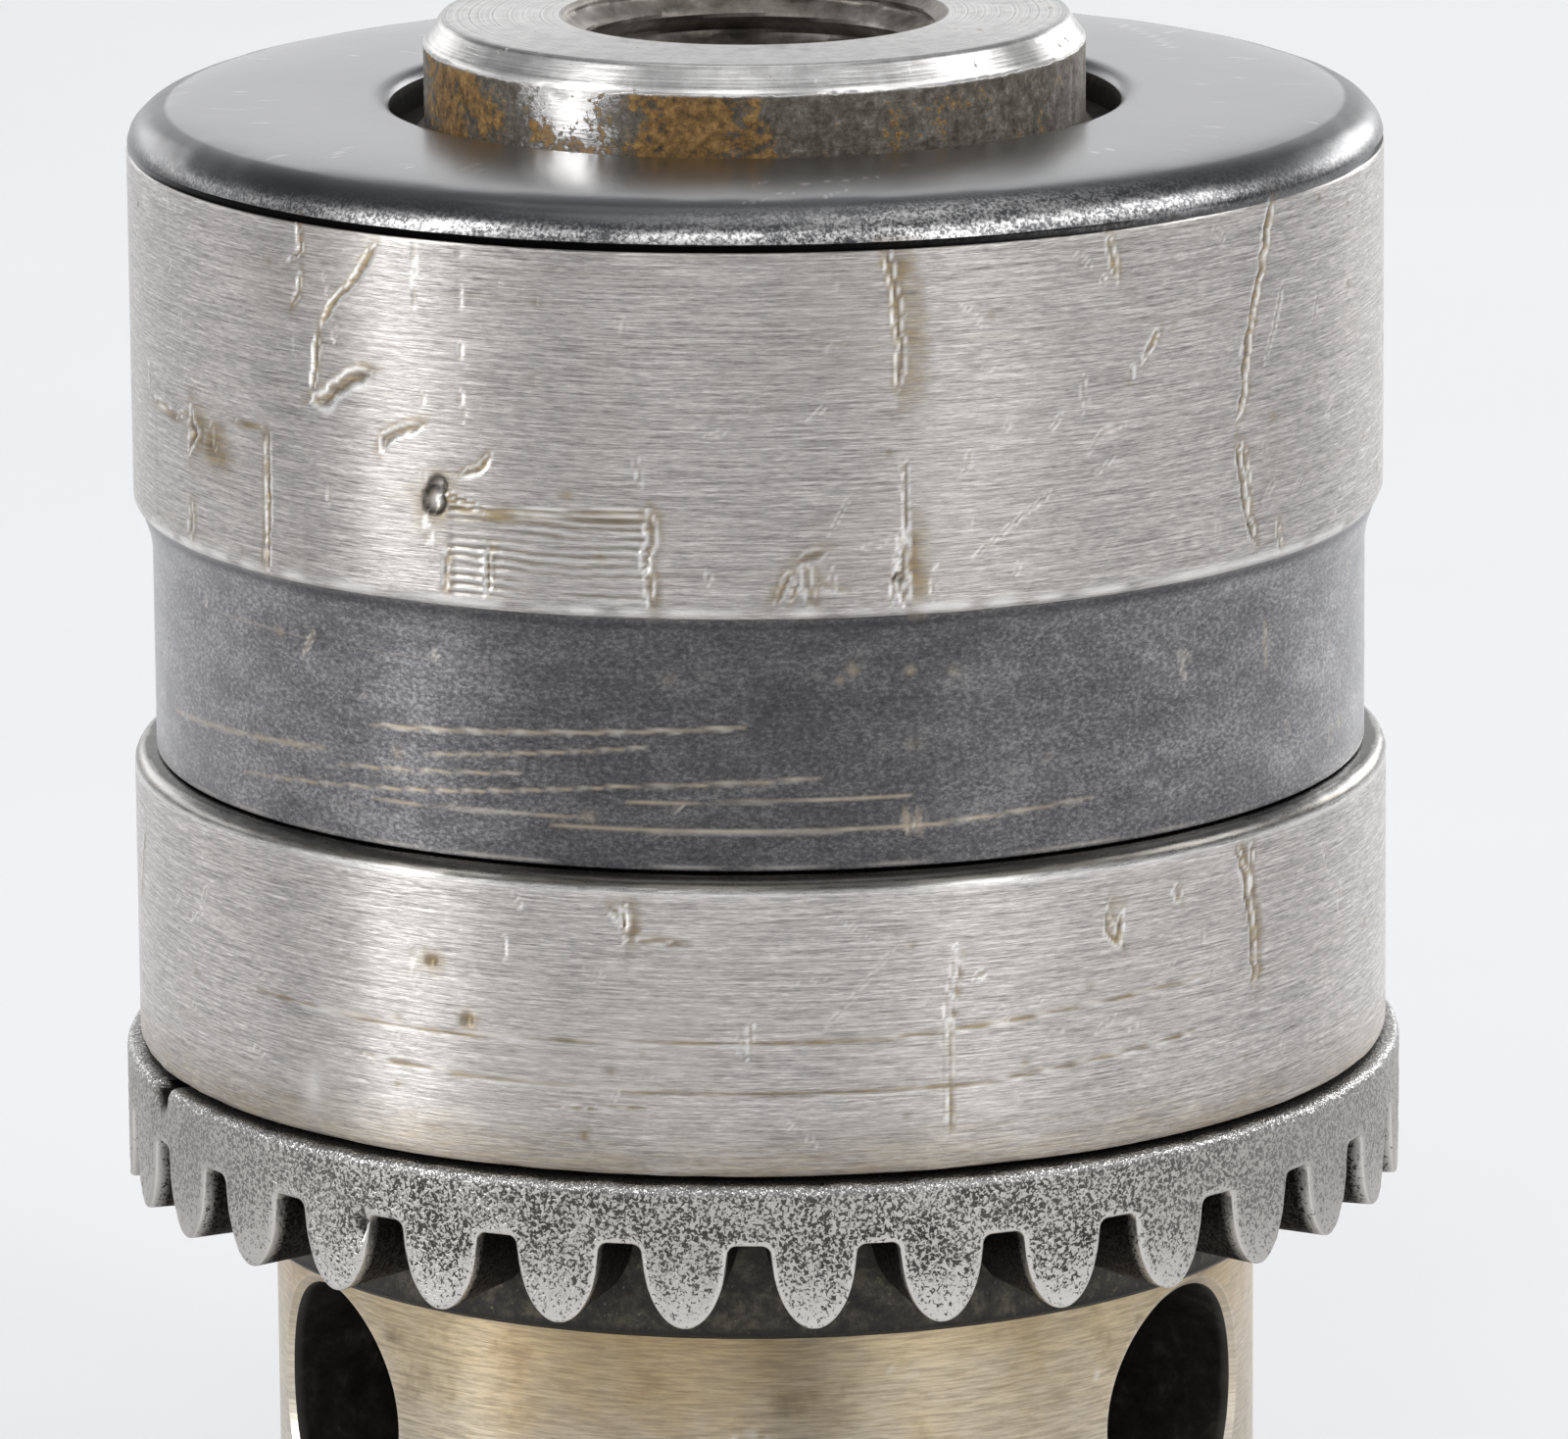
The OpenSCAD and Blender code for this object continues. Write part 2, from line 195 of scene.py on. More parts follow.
# ---------------------------------------------------------------- Node helper
class Shader:
    """A Principled material with short calls for its nodes; texture scales are per millimetre."""

    def __init__(self, name, **constants):
        self.material = bpy.data.materials.new(name)
        self.material.use_nodes = True
        self.tree = self.material.node_tree
        self.bsdf = self.tree.nodes["Principled BSDF"]
        names = {"metallic": "Metallic", "roughness": "Roughness", "anisotropic": "Anisotropic",
                 "coat": "Coat Weight", "coat_roughness": "Coat Roughness", "specular": "Specular IOR Level"}
        for key, value in constants.items():
            self.bsdf.inputs[names[key]].default_value = value
        self.coordinates = self.node("ShaderNodeTexCoord").outputs["Object"]

    def node(self, kind, **properties):
        """A new node with its settings."""
        made = self.tree.nodes.new(kind)
        for key, value in properties.items():
            setattr(made, key, value)
        return made

    def link(self, value, socket):
        """Feeds a socket from another socket, a number or a colour."""
        if isinstance(value, bpy.types.NodeSocket):
            self.tree.links.new(value, socket)
        elif isinstance(value, (tuple, list)) and len(value) == 3 and len(socket.default_value) == 4:
            socket.default_value = (*value, 1)
        else:
            socket.default_value = value

    def attribute(self, name):
        """A number that the mesh holds at each point."""
        return self.node("ShaderNodeAttribute", attribute_name=name).outputs["Fac"]

    def stretched(self, scale):
        """Object coordinates in millimetres, times a scale along each axis."""
        mapping = self.node("ShaderNodeMapping")
        self.link(self.coordinates, mapping.inputs["Vector"])
        mapping.inputs["Scale"].default_value = [s / MM for s in scale]
        return mapping.outputs["Vector"]

    def noise(self, scale=1.0, stretch=(1, 1, 1), detail=3, roughness=0.5, distortion=0.0):
        """Noise about 0.5, finer along an axis the more it is stretched."""
        made = self.node("ShaderNodeTexNoise")
        self.link(self.stretched([scale * s for s in stretch]), made.inputs["Vector"])
        made.inputs["Scale"].default_value = 1
        made.inputs["Detail"].default_value = detail
        made.inputs["Roughness"].default_value = roughness
        made.inputs["Distortion"].default_value = distortion
        return made.outputs["Fac"]

    def split(self, vector):
        """The three coordinates of a vector."""
        made = self.node("ShaderNodeSeparateXYZ")
        self.link(vector, made.inputs[0])
        return made.outputs

    def math(self, operation, a, b=0.0, c=0.0, clamp=False):
        made = self.node("ShaderNodeMath", operation=operation, use_clamp=clamp)
        for value, socket in zip((a, b, c), made.inputs):
            self.link(value, socket)
        return made.outputs[0]

    def times(self, a, b):
        return self.math("MULTIPLY", a, b)

    def plus(self, a, b):
        return self.math("ADD", a, b)

    def step(self, value, low, high):
        """0 below low, 1 above high, and smooth between them; low may be the higher one."""
        made = self.node("ShaderNodeMapRange", interpolation_type="SMOOTHSTEP")
        self.link(value, made.inputs["Value"])
        made.inputs["From Min"].default_value = min(low, high)
        made.inputs["From Max"].default_value = max(low, high)
        made.inputs["To Min"].default_value = 0 if low < high else 1
        made.inputs["To Max"].default_value = 1 if low < high else 0
        return made.outputs["Result"]

    def ramp(self, value, stops):
        """A colour for each value, through stops of (value, colour)."""
        made = self.node("ShaderNodeValToRGB")
        self.link(value, made.inputs["Fac"])
        elements = made.color_ramp.elements
        while len(elements) < len(stops):
            elements.new(0.5)
        for element, (at, colour) in zip(elements, stops):
            element.position = at
            element.color = (*colour, 1)
        return made.outputs["Color"]

    def mix(self, amount, a, b, blend="MIX"):
        """Colour a where the amount is 0, and b where it is 1."""
        made = self.node("ShaderNodeMix", data_type="RGBA", blend_type=blend)
        self.link(amount, made.inputs["Factor"])
        self.link(a, made.inputs[6])
        self.link(b, made.inputs[7])
        return made.outputs[2]

    def cover(self, base, layer, colour, amount=1):
        """Lays a colour over the base where one of the mesh's layers is high."""
        there = self.attribute(layer)
        if amount != 1:
            there = self.times(there, amount)
        return self.mix(there, base, colour)

    def colour(self, value):
        self.link(value, self.bsdf.inputs["Base Color"])

    def rough(self, value):
        self.link(value, self.bsdf.inputs["Roughness"])

    def metal(self, value):
        self.link(value, self.bsdf.inputs["Metallic"])

    def bump(self, height, depth):
        """Bumps of a height field whose full swing is depth millimetres."""
        made = self.node("ShaderNodeBump")
        made.inputs["Strength"].default_value = 1
        made.inputs["Distance"].default_value = depth * MM
        self.link(height, made.inputs["Height"])
        self.link(made.outputs["Normal"], self.bsdf.inputs["Normal"])

    def turned(self, amount):
        """Stretches highlights across tool marks that run round the spindle axis."""
        self.bsdf.inputs["Anisotropic"].default_value = amount
        self.bsdf.inputs["Anisotropic Rotation"].default_value = 0.25
        tangent = self.node("ShaderNodeTangent", direction_type="RADIAL", axis="Z")
        self.link(tangent.outputs["Tangent"], self.bsdf.inputs["Tangent"])


# ---------------------------------------------------------------- Materials
def grey(value):
    """A slightly warm steel grey."""
    return (value * 1.045, value, value * 0.96)


STAIN_DARK, STAIN_LIGHT = (0.15, 0.105, 0.05), (0.36, 0.28, 0.16)


def turned_steel(name, tone):
    """Bright bands: turned steel with short tool marks, brown stain beside gouges and burnished edges."""
    s = Shader(name, metallic=1.0)
    s.turned(0.8)
    grain = s.noise(scale=1.0, stretch=(0.5, 0.5, 14), detail=4, roughness=0.7)
    fine = s.noise(scale=1.0, stretch=(2.2, 2.2, 24), detail=3, roughness=0.7)
    lines = s.noise(scale=1.0, stretch=(0.035, 0.035, 3.2), detail=3, roughness=0.7)
    cloud = s.noise(scale=0.13, detail=3, roughness=0.6)
    base = s.ramp(s.plus(s.times(grain, 0.55), s.times(fine, 0.45)),
                  [(0.36, grey(0.21 * tone)), (0.5, grey(0.436 * tone)), (0.64, grey(0.72 * tone))])
    base = s.mix(s.times(s.step(lines, 0.60, 0.70), 0.35), base, (0.34, 0.31, 0.26))
    base = s.mix(s.times(s.step(cloud, 0.5, 0.75), 0.35), base, (0.52, 0.48, 0.42))
    streaks = s.noise(scale=1.0, stretch=(0.9, 0.9, 7), detail=3, roughness=0.6)
    stain = s.times(s.attribute("stain"), s.plus(0.35, s.times(streaks, 1.3)))
    stain = s.math("MINIMUM", stain, 0.92)
    base = s.mix(stain, base, s.mix(s.step(streaks, 0.35, 0.65), STAIN_DARK, STAIN_LIGHT))
    height = s.split(s.coordinates)[2]
    ripple = s.math("SINE", s.plus(s.times(height, 2 * math.pi / (0.31 * MM)), s.times(cloud, 16)))
    grip = s.attribute("grip")
    base = s.mix(s.times(grip, s.times(s.step(ripple, 0.1, 0.9), 0.55)), base, (0.76, 0.75, 0.72))
    base = s.mix(s.times(grip, s.times(s.step(ripple, -0.3, -0.9), 0.6)), base, (0.20, 0.165, 0.11))
    # Soot in deep gouges and pits, and painted shade next to the seams at the bands' edges.
    base = s.cover(base, "soot", (0.020, 0.017, 0.013))
    base = s.cover(base, "bare", (0.86, 0.85, 0.83))
    s.colour(base)
    rough = s.plus(0.25, s.times(grain, 0.18))
    rough = s.plus(rough, s.times(stain, 0.2))
    s.rough(s.math("SUBTRACT", rough, s.times(s.attribute("bare"), 0.10), clamp=True))
    relief = s.plus(s.plus(grain, s.times(fine, 0.8)), s.times(s.times(grip, ripple), 2.0))
    s.bump(relief, 0.013)
    return s.material


def black_oxide():
    """Rear disc: glossy black oxide, worn through in specks on its edge."""
    s = Shader("black_oxide", metallic=1.0, coat_roughness=0.2)
    cloud = s.noise(scale=0.16, detail=4, roughness=0.6)
    speck = s.noise(scale=8.5, detail=3, roughness=0.7)
    rub = s.noise(scale=1.1, stretch=(1, 1, 3), detail=4, roughness=0.7)
    base = s.ramp(cloud, [(0.3, (0.055, 0.056, 0.060)), (0.7, (0.085, 0.086, 0.090))])
    grains = s.plus(s.times(speck, 0.65), s.times(rub, 0.35))
    worn = s.times(s.attribute("wear"), s.step(grains, 0.42, 0.61))
    bare = s.math("MAXIMUM", worn, s.attribute("bare"))
    base = s.mix(bare, base, (0.72, 0.71, 0.70))
    base = s.cover(base, "stain", (0.20, 0.16, 0.10), 0.8)
    # Painted shade on the edge's sides and round the well's rim.
    base = s.cover(base, "dull", (0.03, 0.03, 0.032), 0.6)
    # Soot in gouges, and painted shade in the seam under the edge.
    base = s.cover(base, "soot", (0.004, 0.004, 0.004))
    s.colour(base)
    s.rough(s.plus(s.plus(0.26, s.times(cloud, 0.14)), s.times(s.attribute("soot"), 0.4)))
    matt = s.math("MAXIMUM", s.attribute("soot"), s.attribute("dull"))
    s.link(s.math("SUBTRACT", 1.0, matt, clamp=True), s.bsdf.inputs["Coat Weight"])
    s.bump(s.plus(s.times(speck, 0.7), rub), 0.006)
    return s.material


def blued_band():
    """Recessed band: matt blue-grey oxide with fine mottling and thin tan scratches."""
    s = Shader("blued_band", metallic=0.95, coat=0.6, coat_roughness=0.32)
    s.turned(0.8)
    mottle = s.noise(scale=1.0, stretch=(5.5, 5.5, 9), detail=4, roughness=0.75)
    cloud = s.noise(scale=0.35, stretch=(1, 1, 2.4), detail=5, roughness=0.65)
    lines = s.noise(scale=1.0, stretch=(0.05, 0.05, 5.0), detail=3, roughness=0.7)
    base = s.ramp(s.plus(s.times(mottle, 0.7), s.times(cloud, 0.3)),
                  [(0.38, (0.045, 0.045, 0.050)), (0.5, (0.105, 0.104, 0.109)), (0.64, (0.26, 0.255, 0.25))])
    base = s.mix(s.times(s.step(lines, 0.62, 0.70), 0.3), base, (0.26, 0.23, 0.19))
    # Painted sheen: darker at the front and lighter towards the sides.
    side_sheen = s.plus(0.77, s.times(s.attribute("fade"), 1.14))
    base = s.mix(1.0, base, side_sheen, "MULTIPLY")
    base = s.cover(base, "stain", (0.42, 0.35, 0.25))
    base = s.cover(base, "bare", (0.66, 0.62, 0.55))
    # Painted shadow under the bright band.
    base = s.cover(base, "soot", (0.010, 0.010, 0.012))
    s.colour(base)
    s.rough(s.plus(0.30, s.times(mottle, 0.16)))
    s.bump(s.plus(mottle, s.times(lines, 0.4)), 0.014)
    return s.material


def boss_steel():
    """Spindle boss: turned steel, rusted and pitted on its side."""
    s = Shader("boss_steel")
    s.turned(0.5)
    radial = s.noise(scale=1.0, stretch=(0.5, 0.5, 9), detail=3)
    rust = s.noise(scale=0.7, detail=4, roughness=0.65, distortion=0.3)
    spots = s.noise(scale=3.4, detail=4, roughness=0.7)
    specks = s.noise(scale=1.4, detail=5, roughness=0.75)
    x, y, _ = s.split(s.coordinates)
    radius = s.math("SQRT", s.plus(s.times(x, x), s.times(y, y)))
    rings = s.node("ShaderNodeTexNoise", noise_dimensions="1D")
    s.link(s.times(radius, 2.8 / MM), rings.inputs["W"])
    rings.inputs["Detail"].default_value = 3
    turning = s.math("MINIMUM", rings.outputs["Fac"], s.plus(radial, 0.1))
    base = s.ramp(s.plus(s.times(turning, 0.6), s.times(specks, 0.4)),
                  [(0.34, (0.31, 0.305, 0.30)), (0.46, (0.55, 0.54, 0.53)), (0.60, (0.78, 0.77, 0.76))])
    mottled = s.ramp(s.plus(s.times(spots, 0.55), s.times(specks, 0.45)),
                     [(0.38, (0.026, 0.020, 0.012)), (0.48, (0.088, 0.070, 0.045)),
                      (0.56, (0.155, 0.141, 0.114)), (0.66, (0.32, 0.305, 0.275))])
    amount = s.attribute("rust")
    dirt = s.step(s.plus(amount, s.times(s.plus(specks, -0.5), 1.4)), 0.18, 0.5)
    base = s.mix(s.times(dirt, 0.93), base, mottled)
    blotch = s.plus(s.times(s.plus(rust, -0.5), 1.1), s.times(s.plus(spots, -0.5), 0.9))
    orange = s.step(s.plus(blotch, s.times(s.attribute("orange"), 0.46)), 0.22, 0.32)
    rusty = s.ramp(s.plus(s.times(spots, 0.6), s.times(specks, 0.4)),
                   [(0.38, (0.055, 0.031, 0.012)), (0.5, (0.215, 0.113, 0.026)), (0.64, (0.42, 0.24, 0.06))])
    base = s.mix(s.times(orange, 0.85), base, rusty)
    # Painted shade on the chamfer away from the front.
    base = s.cover(base, "soot", (0.010, 0.009, 0.007))
    base = s.cover(base, "bare", (0.80, 0.79, 0.78))
    s.colour(base)
    covered = s.math("MAXIMUM", s.times(dirt, 0.75), orange)
    s.metal(s.math("SUBTRACT", 1.0, s.times(covered, 0.8)))
    s.rough(s.plus(s.plus(0.27, s.times(radial, 0.12)), s.times(covered, 0.4)))
    s.bump(s.plus(s.times(radial, 0.35), s.times(covered, s.plus(spots, specks))), 0.04)
    return s.material


def nose_steel():
    """Nose: hardened steel, straw-coloured under the gear and greyer towards the end."""
    s = Shader("nose_steel", metallic=1.0)
    s.turned(0.7)
    grain = s.noise(scale=1.0, stretch=(0.8, 0.8, 12), detail=4, roughness=0.7)
    cloud = s.noise(scale=1.0, stretch=(0.14, 0.14, 0.10), detail=3, roughness=0.55)
    patch = s.noise(scale=0.5, detail=4, roughness=0.6)
    height = s.split(s.coordinates)[2]
    straw = s.step(s.plus(s.times(height, 1 / MM), s.times(s.plus(patch, -0.5), 9)), 11, 22)
    tint = s.mix(straw, (0.56, 0.50, 0.41), (0.54, 0.405, 0.225))
    base = s.mix(s.step(cloud, 0.40, 0.62), tint, s.mix(straw, (0.68, 0.635, 0.555), (0.63, 0.51, 0.325)))
    base = s.mix(s.times(s.step(patch, 0.55, 0.75), 0.4), base, (0.24, 0.17, 0.09))
    base = s.mix(s.step(grain, 0.70, 0.30), base, s.mix(0.55, base, (0.14, 0.11, 0.075)))
    base = s.cover(base, "stain", (0.12, 0.085, 0.04))
    base = s.cover(base, "bare", (0.80, 0.78, 0.73))
    # Painted shade: a dark column down the front and a shadow along the top under the gear.
    base = s.cover(base, "soot", (0.03, 0.022, 0.012))
    s.colour(base)
    s.rough(s.plus(0.28, s.times(grain, 0.16)))
    s.bump(s.plus(grain, patch), 0.010)
    return s.material


def oily_shaded_bore():
    """Holes, threads and running faces: near-black steel with old oil, which also stands as painted shade in
    the holes and on the well's wall.
    """
    s = Shader("oily_shaded_bore", specular=0.1)
    grime = s.noise(scale=1.1, detail=5, roughness=0.7)
    fine = s.noise(scale=4.0, detail=3)
    base = s.ramp(grime, [(0.35, (0.013, 0.012, 0.0105)), (0.55, (0.027, 0.0245, 0.021)),
                          (0.75, (0.07, 0.064, 0.054))])
    base = s.cover(base, "bare", (0.42, 0.40, 0.37))
    s.colour(base)
    s.rough(s.plus(0.55, s.times(grime, 0.3)))
    s.bump(s.plus(grime, fine), 0.02)
    return s.material


def bore_wall():
    """Threaded bore: dull grey-brown steel."""
    s = Shader("bore_wall", metallic=0.9)
    grime = s.noise(scale=0.6, detail=5, roughness=0.65)
    s.colour(s.ramp(grime, [(0.35, (0.10, 0.09, 0.075)), (0.55, (0.24, 0.22, 0.195)),
                            (0.72, (0.46, 0.44, 0.41))]))
    s.rough(s.plus(0.40, s.times(grime, 0.2)))
    s.bump(s.noise(scale=3.0, detail=3), 0.02)
    return s.material


def burnished_edge():
    """The sleeve's rounded top edge: smooth bright steel, with painted shade beside the gap, a painted brown
    reflection and a painted highlight at its foot.
    """
    s = Shader("burnished_edge", metallic=1.0)
    grain = s.noise(scale=1.0, stretch=(1.5, 1.5, 12), detail=4, roughness=0.7)
    base = s.ramp(grain, [(0.3, (0.42, 0.41, 0.395)), (0.7, (0.70, 0.69, 0.67))])
    # Stain, and a painted brown reflection on the rounded edge.
    base = s.cover(base, "stain", (0.30, 0.24, 0.15), 0.8)
    # Painted shade beside the gap and on the top face.
    base = s.cover(base, "soot", (0.024, 0.021, 0.017))
    # Bare steel at gouges, and a painted highlight along the edge's foot.
    base = s.cover(base, "bare", (0.86, 0.85, 0.83))
    s.colour(base)
    s.rough(s.plus(0.20, s.times(grain, 0.16)))
    s.bump(grain, 0.006)
    return s.material


def greasy_black():
    """The skirt behind the gear: black oxide under old grease, with dust and fibres in it."""
    s = Shader("greasy_black", metallic=0.3)
    grime = s.noise(scale=1.5, detail=5, roughness=0.75)
    dust = s.noise(scale=5.0, detail=3, roughness=0.6)
    base = s.ramp(grime, [(0.36, (0.007, 0.006, 0.005)), (0.5, (0.030, 0.026, 0.018)),
                          (0.66, (0.10, 0.088, 0.062))])
    base = s.mix(s.times(s.step(dust, 0.62, 0.72), 0.5), base, (0.26, 0.22, 0.14))
    # Painted shade at the skirt's foot and under the band.
    base = s.cover(base, "soot", (0.004, 0.004, 0.003))
    s.colour(base)
    s.rough(s.plus(0.28, s.times(grime, 0.4)))
    s.bump(s.plus(grime, s.times(dust, 0.4)), 0.05)
    return s.material


def gear_steel():
    """Gear ring: rough forged steel whose high grains are worn bright."""
    s = Shader("gear_steel", metallic=1.0)
    grains = s.noise(scale=8.0, detail=1.5, roughness=0.5, distortion=0.9)
    dust = s.noise(scale=16, detail=2)
    cloud = s.noise(scale=0.6, detail=3)
    edge = s.attribute("wear")
    rim = s.attribute("rim")
    level = s.plus(s.plus(s.times(grains, 0.85), s.times(dust, 0.15)), s.times(edge, 0.17))
    level = s.plus(level, s.times(s.math("SUBTRACT", cloud, 0.5), 0.12))
    bright = s.step(level, 0.44, 0.56)
    dark = s.ramp(cloud, [(0.3, (0.058, 0.055, 0.051)), (0.7, (0.115, 0.109, 0.100))])
    light = s.mix(edge, (0.55, 0.53, 0.50), (0.70, 0.68, 0.65))
    # Painted sheen: the outer face turns a flat grey at the ring's sides.
    base = s.mix(s.times(s.attribute("even"), 0.6), s.mix(bright, dark, light), (0.36, 0.35, 0.335))
    sparkle = s.step(s.plus(s.times(grains, 0.5), s.times(dust, 0.5)), 0.50, 0.60)
    base = s.mix(rim, base, s.mix(sparkle, (0.24, 0.235, 0.23), (0.74, 0.73, 0.71)))
    # Painted shade behind the outer face and in the chip.
    base = s.cover(base, "soot", (0.010, 0.009, 0.008))
    s.colour(base)
    rough = s.math("SUBTRACT", s.plus(0.50, s.times(s.attribute("soot"), 0.2)), s.times(bright, 0.16))
    s.rough(s.math("SUBTRACT", rough, s.times(rim, 0.15)))
    s.bump(s.times(grains, s.math("SUBTRACT", 1.0, s.times(edge, 0.7))), 0.05)
    return s.material


def ground_steel(name, tone=0.55, rough=0.24, stretch=(6, 6, 0.5)):
    """Hardened and ground steel with fine grinding lines, for jaws and bearing parts."""
    s = Shader(name, metallic=1.0)
    lines = s.noise(scale=1.0, stretch=stretch, detail=3)
    film = s.noise(scale=0.5, detail=4)
    base = s.ramp(lines, [(0.3, (tone * 0.75, tone * 0.74, tone * 0.72)),
                          (0.7, (tone * 1.15, tone * 1.14, tone * 1.12))])
    base = s.mix(s.times(s.step(film, 0.5, 0.7), 0.5), base, (tone * 0.45, tone * 0.40, tone * 0.32))
    s.colour(base)
    s.rough(s.plus(rough, s.times(film, 0.14)))
    s.bump(lines, 0.006)
    return s.material


def cage_brass():
    """Ball cage: stamped brass, dulled by oil."""
    s = Shader("cage_brass", metallic=1.0)
    film = s.noise(scale=0.8, detail=4)
    fine = s.noise(scale=5.0, detail=2)
    s.colour(s.ramp(film, [(0.3, (0.30, 0.19, 0.06)), (0.7, (0.62, 0.44, 0.17))]))
    s.rough(s.plus(0.25, s.times(film, 0.2)))
    s.bump(fine, 0.01)
    return s.material


# ---------------------------------------------------------------- Noise on the mesh
def wobble(u, v, size, seed, around=None):
    """Smooth noise from 0 to 1 whose lumps are about size across. around makes it repeat along u."""
    count = 512 if around is None else max(3, round(around / size))
    lattice = np.random.default_rng(seed).random((count, 512))
    x, y = np.asarray(u) / size, np.asarray(v) / size + 100
    if around is not None:
        x = np.asarray(u) / around * count
    i, j = np.floor(x).astype(int), np.floor(y).astype(int)
    fx, fy = x - i, y - j
    fx, fy = fx * fx * (3 - 2 * fx), fy * fy * (3 - 2 * fy)
    i0, i1, j0, j1 = i % count, (i + 1) % count, j % 512, (j + 1) % 512
    low = lattice[i0, j0] * (1 - fx) + lattice[i1, j0] * fx
    high = lattice[i0, j1] * (1 - fx) + lattice[i1, j1] * fx
    return low * (1 - fy) + high * fy


def bell(x, centre, width):
    """A smooth bump of height 1."""
    return np.exp(-(((x - centre) / width) ** 2))


# ---------------------------------------------------------------- Marks of use
# A cut is a gouge or scratch along a path of (azimuth, height) points. half is half its width, and stain is
# how far brown stain spreads beside it, to the right if positive.
Cut = namedtuple("Cut", "path half depth stain", defaults=(0.0,))
# A pit is a small dent: (azimuth, height), radius, depth, and how brown it is.
Pit = namedtuple("Pit", "at radius depth stain", defaults=(0.0,))

